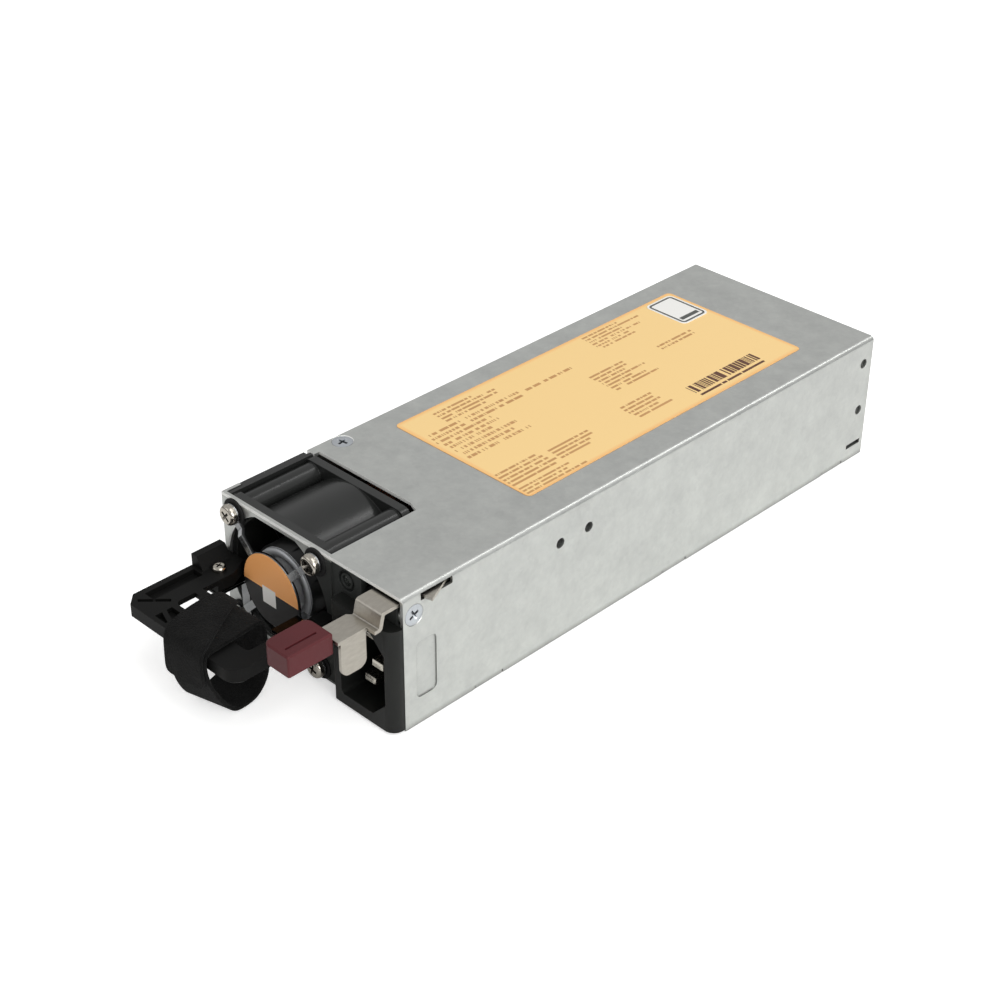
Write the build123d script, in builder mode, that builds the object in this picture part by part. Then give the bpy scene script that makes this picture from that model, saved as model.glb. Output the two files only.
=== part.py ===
"""Hot swap server power supply: a slim steel case with a fan, a release latch, a pull handle and an AC inlet.

Millimetres. +Z is up, the fan and the inlet face -Y, the card edge leaves at +Y and the latch tooth at +X.
The origin is the middle of the case's bottom face.
"""
import os

from build123d import *

# Driving dimensions: the case, as wide as the fan, the lamp's strip and the inlet side by side
case_depth = 191.0
case_height = 40.0
sheet = 1.0
fold_radius = 1.5
seam_gap = 0.1
screw_hole_r = 1.7
side_hole_r = 1.5

# The fan, which fills the case's height, and its opening
fan_clearance = 0.1
fan_side_gap = 1.3
fan_depth = 28.0
fan_screw_inset = 3.9
fan_rim = 1.2
fan_wall = 1.0
fan_flange = 2.6
fan_rail = 1.2
hub_r = 11.2
hub_depth = 19.0
hub_set_back = 2.5
blade_count = 7
blade_tip_gap = 0.5
shaft_r = 1.5
running_gap = 0.05

# The guard, its disc and its screws
guard_sheet = 0.8
guard_disc_r = 10.9
guard_joggle = 1.0
guard_leg_width = 2.2
label_thickness = 0.12
grommet_r = 3.9
grommet_height = 0.6
fan_screw_r = 1.6
fan_screw_head_r = 2.9
fan_screw_head_h = 1.9

# The handle and the strap
handle_reach = 33.2
handle_overhang = 3.0
handle_drop = 1.8
handle_thickness = 4.2
handle_bar = 8.5
handle_left_arm = 10.6
handle_right_arm = 4.7
handle_rail_height = 3.5
handle_skin = 1.5
strap_width = 16.5
strap_thickness = 1.6
strap_inset = 6.7
strap_gap = 0.4
strap_slack = 1.1
strap_lift = 0.3

# The inlet
bezel_strip = 3.6
inlet_width = 22.1
inlet_side_gap = 0.1
inlet_lift = 0.6
inlet_headroom = 8.4
inlet_proud = 4.0
cavity_side_wall = 2.85
cavity_end_wall = 3.25
cavity_depth = 17.5
cavity_chamfer = 4.7
pin_spacing = 14.0
pin_offset = 4.0
pin_width = 4.0
pin_thickness = 2.0

# The latch
lever_sheet = 1.0
lever_headroom = 1.6
lever_step = 4.2
lever_side_gap = 1.3
lever_width = 9.3
lever_front = 4.6
lever_neck_width = 7.6
lever_neck_inset = 1.1
lever_tab_drop = 11.0
lever_tab_length = 8.0
lever_tab_rounding = 2.5
tooth_reach = 2.6
tooth_front = 6.6
tooth_length = 9.4
pivot_y = 46.0
pivot_inset = 6.3
pivot_r = 2.0
grip_length = 13.9
grip_width = 9.4
grip_height = 6.0

# The electronics
board_thickness = 1.6
board_lift = 5.0
board_margin = 3.0
board_fan_gap = 4.0
card_edge_width = 42.0
card_edge_reach = 8.0
film = 0.4

# Places that follow from the sizes above
fan_size = case_height - 2 * fan_clearance
fan_pitch = fan_size - 2 * fan_screw_inset
fan_bore_r = fan_size / 2 - fan_rim
opening_r = fan_size / 2 - fan_clearance
flange_gap = sheet + 0.9
inlet_left = fan_side_gap + fan_size + flange_gap + bezel_strip
case_width = inlet_left + inlet_width + inlet_side_gap
left = -case_width / 2
right = case_width / 2
front = -case_depth / 2
rear = case_depth / 2
fan_x = left + fan_side_gap + fan_size / 2
fan_z = case_height / 2
fan_front = front + sheet
fan_back = fan_front + fan_depth
window_depth = fan_depth + 2.0 * sheet
flange_right = fan_x + fan_size / 2 + flange_gap
inner_right = right - sheet
handle_z = fan_z - handle_drop
handle_right = fan_x + fan_size / 2 + handle_overhang
inlet_height = case_height - inlet_lift - inlet_headroom
lever_z = case_height - sheet - lever_headroom
lever_right = right - lever_side_gap
lever_left = lever_right - lever_width
board_z = sheet + board_lift
board_top = board_z + board_thickness


def facing_front(y):
    """A sketch plane at y that looks out of the front, with X to the right and Z up."""
    return Plane.XZ.offset(-y)


def rectangle(x0, y0, x1, y1, mode=Mode.ADD):
    """A rectangle between two corners of the sketch plane."""
    with Locations(((x0 + x1) / 2, (y0 + y1) / 2)):
        Rectangle(x1 - x0, y1 - y0, mode=mode)


def save(piece, name):
    """Label the finished piece and write it as its own file."""
    piece.part.label = name
    export_step(piece.part, f"parts/{name}.step")


os.makedirs("parts", exist_ok=True)

# Chassis: the base, the left side and the front flange, folded from one galvanised sheet
wall_top = case_height - sheet
base_right = inner_right - seam_gap
lip_height = 8.0
lip_front = front + 26.0
tongue_length = 9.6
tongue_inset = (29.3, 15.0)
tongue_places = [front + tongue_inset[0], (tongue_inset[0] - tongue_inset[1]) / 2, rear - tongue_inset[1]]
opening_edge = 1.8
dimple_depth = 2.2
dimple_r = 3.4
countersink_r = 3.1
cover_screw_r = 1.45
top_screw_x = left + 3.2
top_screw_y = front + 38.9
side_screw_y = front + 3.7
side_screw_z = case_height - 6.1
tab_z = case_height - dimple_depth - sheet
screw_tab = 10.0
return_depth = 12.0
notch_front = front + 5.8
notch_back = front + 28.0
side_drop = 2.4
rib_inset = 42.0
rib_length = 24.0
rib_height = 4.0

with BuildPart() as chassis:
    with BuildSketch(facing_front(rear)) as profile:
        with BuildLine():
            Polyline(
                (left, 0), (base_right, 0), (base_right, lip_height), (base_right - sheet, lip_height),
                (base_right - sheet, sheet), (left + sheet, sheet), (left + sheet, wall_top),
                (left, wall_top), close=True,
            )
        make_face()
        for outer_x, inner_x in ((left, left + sheet), (base_right, base_right - sheet)):
            fillet(profile.vertices().sort_by_distance((outer_x, 0))[0], fold_radius)
            fillet(profile.vertices().sort_by_distance((inner_x, sheet))[0], fold_radius - sheet)
    extrude(amount=case_depth)
    # The lip stops behind the inlet, and the base is open under the fan
    with BuildSketch(Plane.XY):
        rectangle(base_right - 2 * sheet, front, base_right + sheet, lip_front)
    extrude(amount=lip_height + sheet, mode=Mode.SUBTRACT)
    with BuildSketch(Plane.XY):
        rectangle(base_right - 3 * sheet, front, base_right, lip_front)
        for y in tongue_places:
            rectangle(base_right - sheet, y - tongue_length / 2, right - seam_gap, y + tongue_length / 2)
    extrude(amount=sheet)
    with BuildSketch(Plane.XY):
        fan_room = fan_size / 2 + seam_gap
        rectangle(fan_x - fan_room, fan_front, fan_x + fan_room, fan_back + seam_gap)
    extrude(amount=sheet, mode=Mode.SUBTRACT)
    # Front flange with the round fan opening, flattened under the top fold
    with BuildSketch(facing_front(fan_front)):
        rectangle(left, 0, flange_right, wall_top)
        with BuildSketch(mode=Mode.PRIVATE) as opening:
            with Locations((fan_x, fan_z)):
                Circle(opening_r)
            rectangle(left + sheet, opening_edge, flange_right, case_height - opening_edge, Mode.INTERSECT)
        add(opening.sketch, mode=Mode.SUBTRACT)
        with Locations((fan_x, fan_z)):
            with GridLocations(fan_pitch, fan_pitch, 2, 2):
                Circle(screw_hole_r, mode=Mode.SUBTRACT)
    extrude(amount=sheet)
    # The flange's return beside the fan
    with BuildSketch(Plane.XY.offset(sheet)):
        rectangle(flange_right - sheet, front, flange_right, front + return_depth)
    extrude(amount=wall_top - sheet)
    # The side is lower beside the fan, and a folded tab takes the top screw
    with BuildSketch(Plane.YZ.offset(left)):
        rectangle(notch_front, wall_top - side_drop, notch_back, wall_top)
    extrude(amount=sheet, mode=Mode.SUBTRACT)
    with BuildSketch(Plane.XY.offset(tab_z)):
        rectangle(left, top_screw_y - screw_tab / 2, left + 0.8 * screw_tab, top_screw_y + screw_tab / 2)
    extrude(amount=sheet)
    with Locations((top_screw_x, top_screw_y, tab_z + sheet)):
        Hole(cover_screw_r + running_gap, depth=sheet)
    # Long rib pressed out of the left side near its top edge
    rib_place = (rear - rib_inset, wall_top - rib_height / 2 - 0.5)
    with BuildSketch(Plane.YZ.offset(left)):
        with Locations(rib_place):
            SlotOverall(rib_length, rib_height)
    extrude(amount=-sheet)
    with BuildSketch(Plane.YZ.offset(left + sheet)):
        with Locations(rib_place):
            SlotOverall(rib_length - 2 * sheet, rib_height - 2 * sheet)
    extrude(amount=-sheet, mode=Mode.SUBTRACT)
save(chassis, "chassis")

# Cover: the top and the right side, with the fan window, the tooth slot and two screw dimples
window_step = 2.9
tooth_slot = (front + 5.9, front + 16.6)
tooth_slot_z = (lever_z - 0.3, lever_z + lever_sheet + 0.7)
front_hole_inset = (55.25, 66.1)
front_hole_drop = 9.65
front_holes = [(front + inset, case_height - front_hole_drop) for inset in front_hole_inset]
rear_hole_inset = 4.0
rear_holes = [(rear - rear_hole_inset, z) for z in (case_height - 7.7, 16.5)]
rear_slot = (rear - 8.2, 4.2, rear - 1.5, 5.6)
emboss_inset = (4.0, 8.1)
emboss_size = (6.9, 17.1)

with BuildPart() as cover:
    with BuildSketch(facing_front(rear)) as profile:
        with BuildLine():
            Polyline(
                (left, wall_top), (left, case_height), (right, case_height), (right, 0),
                (inner_right, 0), (inner_right, wall_top), close=True,
            )
        make_face()
        fillet(profile.vertices().sort_by_distance((right, case_height))[0], fold_radius)
        fillet(profile.vertices().sort_by_distance((inner_right, wall_top))[0], fold_radius - sheet)
    extrude(amount=case_depth)
    # Window over the fan: open at the left edge, with a clipped corner at the rear right
    with BuildSketch(Plane.XY.offset(wall_top)):
        window_right = flange_right - sheet
        window_back = front + window_depth + sheet
        with BuildLine():
            Polyline(
                (left + sheet, fan_front), (window_right, fan_front), (window_right, window_back - 1.4),
                (window_right - 3.6, window_back), (left + window_step, window_back),
                (left + window_step, fan_back + seam_gap), (left - sheet, fan_back + seam_gap),
                (left - sheet, notch_front),
                (left + sheet, notch_front), close=True,
            )
        make_face()
    extrude(amount=sheet, mode=Mode.SUBTRACT)
    with BuildSketch(Plane.YZ.offset(inner_right)):
        rectangle(tooth_slot[0], tooth_slot_z[0], tooth_slot[1], tooth_slot_z[1])
        rectangle(*rear_slot)
        with Locations(*front_holes, *rear_holes):
            Circle(side_hole_r)
        for y in tongue_places:
            half = tongue_length / 2 + 3 * seam_gap
            rectangle(y - half, -sheet, y + half, sheet + seam_gap)
    extrude(amount=sheet, mode=Mode.SUBTRACT)
    # Shallow pressed panel near the front of the side
    with BuildSketch(Plane.YZ.offset(right)):
        with Locations((front + emboss_inset[0] + emboss_size[0] / 2, emboss_inset[1] + emboss_size[1] / 2)):
            RectangleRounded(*emboss_size, 1.6)
    extrude(amount=-sheet / 3, mode=Mode.SUBTRACT)
    # Dimples for the countersunk heads
    with BuildSketch(Plane.YZ.offset(inner_right)):
        with Locations((side_screw_y, side_screw_z)):
            Circle(dimple_r)
    extrude(amount=sheet - dimple_depth)
    with BuildSketch(Plane.XY.offset(wall_top)):
        with Locations((top_screw_x, top_screw_y)):
            Circle(dimple_r - 0.3)
        rectangle(left - sheet, top_screw_y - dimple_r, left + sheet, top_screw_y + dimple_r, Mode.SUBTRACT)
    extrude(amount=sheet - dimple_depth)
    side_seat = Plane((right, side_screw_y, side_screw_z), x_dir=(0, 1, 0), z_dir=(1, 0, 0))
    top_seat = Plane((top_screw_x, top_screw_y, case_height))
    with Locations(side_seat, top_seat):
        CounterSinkHole(
            cover_screw_r + running_gap, countersink_r, depth=dimple_depth, counter_sink_angle=90
        )
save(cover, "cover")


def countersunk_screw(seat, length):
    """A countersunk screw whose flat head lies just under the plane that it is seated on."""
    head_h = countersink_r - cover_screw_r - running_gap
    with BuildPart() as screw:
        with BuildSketch(Plane.XZ) as half:
            with BuildLine():
                Polyline(
                    (0, -2 * running_gap), (countersink_r - 3 * running_gap, -2 * running_gap),
                    (cover_screw_r, -head_h - running_gap), (cover_screw_r, -length), (0, -length),
                    close=True,
                )
            make_face()
        revolve(axis=Axis.Z)
    with BuildPart() as placed:
        with Locations(seat):
            add(screw.part)
    return placed


side_screw = countersunk_screw(side_seat, 6.5)
save(side_screw, "side_screw")
top_screw = countersunk_screw(top_seat, 5.5)
save(top_screw, "top_screw")

# Rear panel: a folded plate with hexagonal vents above the card edge's slot
panel_left = left + sheet + seam_gap
panel_right = inner_right - seam_gap
panel_fold = 9.0
vent_r = 2.1
vent_half_pitch = 2.6
card_slot_gap = 1.0
with BuildPart() as rear_panel:
    with BuildSketch(Plane.XY.offset(sheet)) as profile:
        with BuildLine():
            Polyline(
                (panel_left, rear - panel_fold), (panel_left, rear), (panel_right, rear),
                (panel_right, rear - panel_fold), (panel_right - sheet, rear - panel_fold),
                (panel_right - sheet, rear - sheet), (panel_left + sheet, rear - sheet),
                (panel_left + sheet, rear - panel_fold), close=True,
            )
        make_face()
        for x in (panel_left, panel_right):
            fillet(profile.vertices().sort_by_distance((x, rear))[0], fold_radius)
    extrude(amount=wall_top - sheet)
    with BuildSketch(facing_front(rear)):
        with Locations((0, (board_top + 2 * card_slot_gap + wall_top) / 2)):
            with HexLocations(vent_half_pitch, 11, 4):
                RegularPolygon(vent_r, 6)
        slot_half = card_edge_width / 2 + card_slot_gap
        rectangle(-slot_half, board_z - 2 * card_slot_gap, slot_half, board_top + 2 * card_slot_gap)
    extrude(amount=sheet, mode=Mode.SUBTRACT)
    with BuildSketch(Plane.YZ.offset(panel_right - sheet)):
        with Locations(*rear_holes):
            Circle(side_hole_r)
    extrude(amount=sheet, mode=Mode.SUBTRACT)
    # Corners clipped where the case's folds are rounded inside
    with BuildSketch(facing_front(rear)):
        clip = fold_radius - sheet + seam_gap
        rectangle(panel_left, sheet, panel_left + clip, sheet + clip)
        rectangle(panel_right - clip, wall_top - clip, panel_right, wall_top)
    extrude(amount=panel_fold, mode=Mode.SUBTRACT)
    # The right fold clears the chassis lip
    with BuildSketch(facing_front(rear)):
        rectangle(base_right - fold_radius - seam_gap, sheet, panel_right + seam_gap, lip_height + seam_gap)
    extrude(amount=panel_fold, mode=Mode.SUBTRACT)
save(rear_panel, "rear_panel")

# Bezel: the dark panel beside the fan, with the lever's slot, the lamp's recess and the side screw's boss
bezel_thickness = 2.0
latch_room = 4.3
inlet_right = left + inlet_left + inlet_width
inlet_top = inlet_lift + inlet_height
inlet_neck = (left + inlet_left + 1.6, inlet_lift + 1.6, inner_right - 0.4, inlet_top - 1.4)
slot_left = lever_left - latch_room
lamp_x = (flange_right + slot_left) / 2
lamp_z = case_height - 4.4
lamp_r = 1.5
lamp_recess_r = 2.9
boss_right = inner_right + sheet - dimple_depth - running_gap
boss_length = 6.0
with BuildPart() as bezel:
    with BuildSketch(facing_front(front + bezel_thickness)):
        rectangle(flange_right, sheet, inner_right - seam_gap, wall_top)
        rectangle(slot_left, inlet_top + 0.2, inner_right, wall_top, mode=Mode.SUBTRACT)
        x0, z0, x1, z1 = inlet_neck
        rectangle(x0 - seam_gap, z0 - seam_gap, x1 + seam_gap, z1 + seam_gap, mode=Mode.SUBTRACT)
        with Locations((lamp_x, lamp_z)):
            Circle(lamp_r + running_gap, mode=Mode.SUBTRACT)
    extrude(amount=bezel_thickness)
    with BuildSketch(facing_front(front)):
        with Locations((lamp_x, lamp_z)):
            Circle(lamp_recess_r)
            Circle(lamp_r + 0.6, mode=Mode.SUBTRACT)
    extrude(amount=-1.1, mode=Mode.SUBTRACT)
    with BuildSketch(Plane.YZ.offset(boss_right - boss_length)):
        rectangle(front, inlet_top - 1.2, side_screw_y + 3.6, lever_z - 0.8)
        with Locations((side_screw_y, side_screw_z)):
            Circle(cover_screw_r + running_gap, mode=Mode.SUBTRACT)
    extrude(amount=boss_length)
    with BuildSketch(Plane.YZ.offset(boss_right)):
        with Locations((side_screw_y, side_screw_z)):
            Circle(dimple_r + seam_gap)
    extrude(amount=dimple_depth, mode=Mode.SUBTRACT)
save(bezel, "bezel")

with BuildPart() as lamp:
    with BuildSketch(Plane.XZ) as half:
        with BuildLine():
            Polyline((lamp_r, -0.4), (lamp_r, -bezel_thickness), (lamp_r + 0.8, -bezel_thickness),
                     (lamp_r + 0.8, -bezel_thickness - 1.0), (lamp_r, -bezel_thickness - 1.0),
                     (lamp_r, -8.0), (0, -8.0), (0, 0))
            ThreePointArc((0, 0), (lamp_r * 0.7, -0.12), (lamp_r, -0.4))
        make_face()
    revolve(axis=Axis.Z)
with BuildPart() as led_lens:
    with Locations(Plane((lamp_x, front + 0.2, lamp_z), x_dir=(1, 0, 0), z_dir=(0, -1, 0))):
        add(lamp.part)
save(led_lens, "led_lens")

# Inlet: a moulded block with a keyed cavity, its rounded corner wrapping the case's front edge
neck_depth = 20.0
cavity_x = (left + inlet_left + inlet_right) / 2
cavity_width = inlet_width - 2 * cavity_side_wall
cavity_height = inlet_height - 2 * cavity_end_wall
cavity_z = inlet_lift + inlet_height / 2
pin_places = [(-pin_offset / 2, pin_spacing / 2), (-pin_offset / 2, -pin_spacing / 2), (pin_offset / 2, 0)]
with BuildPart() as inlet_body:
    with BuildSketch(Plane.XY.offset(inlet_lift)) as plan:
        rectangle(left + inlet_left, front - inlet_proud, inlet_right, front)
        fillet(plan.vertices().sort_by_distance((inlet_right, front - inlet_proud))[0], 3.2)
        fillet(plan.vertices().sort_by_distance((left + inlet_left, front - inlet_proud))[0], 0.8)
    extrude(amount=inlet_height)
    with BuildSketch(facing_front(front + neck_depth)):
        rectangle(*inlet_neck)
    extrude(amount=neck_depth)
    with BuildSketch(facing_front(front - inlet_proud)) as mouth:
        with Locations((cavity_x, cavity_z)):
            Rectangle(cavity_width, cavity_height)
        chamfer(mouth.vertices().group_by(Axis.X)[-1], cavity_chamfer)
        fillet(mouth.vertices().group_by(Axis.X)[0], 1.2)
    extrude(amount=-cavity_depth, mode=Mode.SUBTRACT)
    with BuildSketch(facing_front(front)):
        with Locations((cavity_x, cavity_z)):
            with Locations(*pin_places):
                Rectangle(pin_width, pin_thickness)
    extrude(amount=-neck_depth, mode=Mode.SUBTRACT)
save(inlet_body, "inlet_body")

pin_tail = 5.0
with BuildPart() as inlet_pins:
    for (dx, dz), tip in zip(pin_places, (0.0, 0.0, 1.0)):
        with BuildSketch(facing_front(front - tip)):
            with Locations((cavity_x + dx, cavity_z + dz)):
                Rectangle(pin_width, pin_thickness)
        extrude(amount=-neck_depth - pin_tail - tip)
        tip_centre = (cavity_x + dx, front - tip, cavity_z + dz)
        chamfer(inlet_pins.faces().sort_by_distance(tip_centre)[0].edges(), 0.5)
save(inlet_pins, "inlet_pins")

# Fan frame: two square flanges, the barrel between them, corner tubes, the rear spider with its bearing,
# and a rail on the left that lies over the lowered side
corner_tube_r = 3.4
motor_base_r = 10.4
motor_base_h = 2.2
bearing_r = 3.1
bearing_length = 17.0
strut_width = 2.0
fan_centre = (fan_x, fan_z)
with BuildPart() as fan_frame:
    for y in (fan_front + fan_flange, fan_back):
        with BuildSketch(facing_front(y)):
            with Locations(fan_centre):
                RectangleRounded(fan_size, fan_size, 3.0)
        extrude(amount=fan_flange)
    with BuildSketch(facing_front(fan_back)):
        with Locations(fan_centre):
            Circle(fan_bore_r + fan_wall)
            with GridLocations(fan_pitch, fan_pitch, 2, 2):
                Circle(corner_tube_r)
    extrude(amount=fan_depth)
    with BuildSketch(facing_front(fan_back)):
        with Locations(fan_centre):
            Circle(fan_bore_r)
            with GridLocations(fan_pitch, fan_pitch, 2, 2):
                Circle(screw_hole_r)
    extrude(amount=fan_depth, mode=Mode.SUBTRACT)
    mouth = fan_frame.edges().filter_by(GeomType.CIRCLE).group_by(Axis.Y)[0]
    chamfer(mouth.sort_by(SortBy.RADIUS)[-1], 0.7)
    with BuildSketch(facing_front(fan_back)):
        with Locations(fan_centre):
            Circle(motor_base_r)
            with PolarLocations(fan_bore_r / 2, 4, 45):
                Rectangle(fan_bore_r + fan_wall / 2, strut_width)
    extrude(amount=motor_base_h)
    with BuildSketch(facing_front(fan_back)):
        with Locations(fan_centre):
            Circle(bearing_r)
    extrude(amount=bearing_length)
    with BuildSketch(facing_front(fan_back - motor_base_h / 2)):
        with Locations(fan_centre):
            Circle(shaft_r + running_gap)
    extrude(amount=bearing_length, mode=Mode.SUBTRACT)
    rail_z = wall_top - side_drop + seam_gap
    with BuildSketch(Plane.XY.offset(rail_z)):
        rail_right = left + fan_side_gap + fan_rail
        rectangle(left + fan_side_gap, fan_front, rail_right, fan_back)
        rectangle(left, notch_front + seam_gap, rail_right, notch_back - seam_gap)
    extrude(amount=fan_z + fan_size / 2 - rail_z)
save(fan_frame, "fan_frame")

# Stator: a four-pole core pressed over the bearing tube, with a coil on each pole
stator_r = 8.6
stator_length = 9.0
pole_shoe = 1.3
pole_width = 2.2
stator_back = fan_back - motor_base_h - 1.6
with BuildPart() as fan_stator:
    with BuildSketch(facing_front(stator_back)):
        with Locations(fan_centre):
            Circle(stator_r)
            Circle(stator_r - pole_shoe, mode=Mode.SUBTRACT)
            with PolarLocations(stator_r, 4, 45):
                Rectangle(4 * pole_shoe, pole_width, mode=Mode.SUBTRACT)
            with PolarLocations(stator_r / 2, 4):
                Rectangle(stator_r - pole_shoe / 2, pole_width)
            Circle(bearing_r + pole_shoe)
            Circle(bearing_r, mode=Mode.SUBTRACT)
    extrude(amount=stator_length)
save(fan_stator, "fan_stator")

with BuildPart() as fan_coils:
    with BuildSketch(facing_front(stator_back + 0.9)):
        with Locations(fan_centre):
            with PolarLocations((stator_r + bearing_r) / 2, 4):
                Rectangle(2.4, 4.6)
    extrude(amount=stator_length + 1.8)
    add(fan_stator.part, mode=Mode.SUBTRACT)
save(fan_coils, "fan_coils")

# Rotor: a cup-shaped hub with seven swept blades
hub_wall = 1.0
hub_front = front + hub_set_back
blade_chord = 15.0
blade_root_pitch = 38.0
blade_tip_pitch = 58.0
blade_middle = hub_front + hub_depth / 2 + 0.5
blade_tip_r = fan_bore_r - blade_tip_gap


def blade_section(angle, radius, pitch):
    """The plane across one blade at a radius, its X along the blade's chord."""
    outward = Vector(1, 0, 0).rotate(Axis.Y, -angle)
    chord_line = Vector(0, 1, 0).rotate(Axis((0, 0, 0), outward), pitch)
    centre = Vector(fan_x, blade_middle, fan_z) + outward * radius
    return Plane(centre, x_dir=chord_line, z_dir=outward)


with BuildPart() as fan_blades:
    for index in range(blade_count):
        angle = index * 360 / blade_count
        for radius, pitch, rise in (
            (hub_r - 3.0, blade_root_pitch, 2.0), (fan_bore_r + 1.0, blade_tip_pitch, 1.2)
        ):
            with BuildSketch(blade_section(angle, radius, pitch)):
                with BuildLine():
                    ThreePointArc((-blade_chord / 2, 0), (0, rise), (blade_chord / 2, 0))
                    ThreePointArc((blade_chord / 2, 0), (0, rise - 0.9), (-blade_chord / 2, 0))
                make_face()
        loft()
    with BuildSketch(facing_front(hub_front + hub_depth)):
        with Locations(fan_centre):
            Circle(blade_tip_r)
            Circle(hub_r - hub_wall / 2, mode=Mode.SUBTRACT)
    extrude(amount=hub_depth, mode=Mode.INTERSECT)

with BuildPart() as fan_rotor:
    with BuildSketch(facing_front(hub_front + hub_depth)):
        with Locations(fan_centre):
            Circle(hub_r)
    extrude(amount=hub_depth)
    with BuildSketch(facing_front(hub_front + hub_depth)):
        with Locations(fan_centre):
            Circle(hub_r - hub_wall)
    extrude(amount=hub_depth - 1.4, mode=Mode.SUBTRACT)
    with BuildSketch(facing_front(hub_front + 4.0)):
        with Locations(fan_centre):
            Circle(shaft_r + 1.2)
    extrude(amount=4.0)
    with BuildSketch(facing_front(hub_front + hub_depth)):
        with Locations(fan_centre):
            Circle(shaft_r)
    extrude(amount=hub_depth - 0.6, mode=Mode.SUBTRACT)
    add(fan_blades.part)
save(fan_rotor, "fan_rotor")

with BuildPart() as rotor_yoke:
    with BuildSketch(facing_front(hub_front + hub_depth - 0.5)):
        with Locations(fan_centre):
            Circle(hub_r - hub_wall)
            Circle(stator_r + 0.5, mode=Mode.SUBTRACT)
    extrude(amount=hub_depth - 2.5)
save(rotor_yoke, "rotor_yoke")

with BuildPart() as fan_shaft:
    with BuildSketch(facing_front(fan_back - motor_base_h / 2 - 0.4)):
        with Locations(fan_centre):
            Circle(shaft_r)
    extrude(amount=fan_back - motor_base_h / 2 - 0.4 - hub_front - 0.6)
save(fan_shaft, "fan_shaft")

with BuildPart() as hub_ring:
    with BuildSketch(facing_front(hub_front)):
        with Locations(fan_centre):
            Circle(hub_r - 0.8)
            Circle(hub_r - 2.9, mode=Mode.SUBTRACT)
    extrude(amount=0.8)
save(hub_ring, "hub_ring")

# Grommets: black rubber bosses under the guard's feet
with BuildPart() as fan_grommets:
    with BuildSketch(facing_front(front)):
        with Locations(fan_centre):
            with GridLocations(fan_pitch, fan_pitch, 2, 2):
                Circle(grommet_r)
                Circle(screw_hole_r, mode=Mode.SUBTRACT)
    extrude(amount=grommet_height)
save(fan_grommets, "fan_grommets")

# Guard: one stamping with a centre plate, four stepped legs and two tongues that carry the handle
foot_back = grommet_height
foot_front = foot_back + guard_sheet
plate_back = foot_back + guard_joggle
plate_front = plate_back + guard_sheet
foot_radius = fan_pitch / 2 * 2 ** 0.5
joggle_radius = foot_radius - 5.2
foot_r = 2.9
tongue_strip = (10.6, 13.8)
tongue_low = fan_z - 13.8
tongue_reach = 11.4
tongue_sheet = guard_sheet
handle_screw_r = 1.2
handle_screw_x = (left + 6.7, handle_right - handle_right_arm / 2)
handle_screw_y = front - 7.6
with BuildPart() as fan_guard:
    for angle in (45, 135, 225, 315):
        outward = Vector(1, 0, 0).rotate(Axis.Y, -angle)
        along_leg = Plane((fan_x, front, fan_z), x_dir=outward, z_dir=outward.cross(Vector(0, -1, 0)))
        with BuildSketch(along_leg):
            with BuildLine():
                Polyline(
                    (foot_radius, foot_back), (joggle_radius, foot_back),
                    (joggle_radius - 1.4, plate_back), (guard_disc_r - 2.0, plate_back),
                    (guard_disc_r - 2.0, plate_front), (joggle_radius - 1.0, plate_front),
                    (joggle_radius + 0.4, foot_front), (foot_radius, foot_front), close=True,
                )
            make_face()
        extrude(amount=guard_leg_width / 2, both=True)
    with BuildSketch(facing_front(front - plate_back)):
        with Locations(fan_centre):
            Circle(guard_disc_r)
    extrude(amount=guard_sheet)
    with BuildSketch(facing_front(front - foot_back)):
        with Locations(fan_centre):
            with GridLocations(fan_pitch, fan_pitch, 2, 2):
                Circle(foot_r)
        for side in (-1, 1):
            x0, x1 = sorted(fan_x + side * offset for offset in tongue_strip)
            rectangle(x0, tongue_low, x1, handle_z)
    extrude(amount=guard_sheet)
    with BuildSketch(facing_front(front - foot_back)):
        with Locations(fan_centre):
            with GridLocations(fan_pitch, fan_pitch, 2, 2):
                Circle(screw_hole_r)
    extrude(amount=guard_sheet, mode=Mode.SUBTRACT)
    with BuildSketch(Plane.XY.offset(handle_z - tongue_sheet)):
        rectangle(left + 3.4, front - tongue_reach, fan_x - tongue_strip[0], front - foot_back)
        rectangle(fan_x + tongue_strip[0], front - tongue_reach, handle_right - 0.5, front - foot_back)
        with Locations(*[(x, handle_screw_y) for x in handle_screw_x]):
            Circle(handle_screw_r + running_gap, mode=Mode.SUBTRACT)
    extrude(amount=tongue_sheet)
save(fan_guard, "fan_guard")

with BuildPart() as guard_label:
    with BuildSketch(facing_front(front - plate_front)):
        with Locations(fan_centre):
            Circle(guard_disc_r - 0.2)
    extrude(amount=label_thickness)
save(guard_label, "guard_label")

fan_screw_reach = fan_front + 9.0 - (front - foot_front)
with BuildPart() as fan_screws:
    with BuildSketch(facing_front(front - foot_front)):
        with Locations(fan_centre):
            with GridLocations(fan_pitch, fan_pitch, 2, 2):
                Circle(fan_screw_head_r)
    extrude(amount=fan_screw_head_h)
    chamfer(fan_screws.edges().group_by(Axis.Y)[0], fan_screw_head_h * 0.4)
    with BuildSketch(facing_front(front - foot_front)):
        with Locations(fan_centre):
            with GridLocations(fan_pitch, fan_pitch, 2, 2):
                Circle(fan_screw_r)
    extrude(amount=-fan_screw_reach)
save(fan_screws, "fan_screws")

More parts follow.
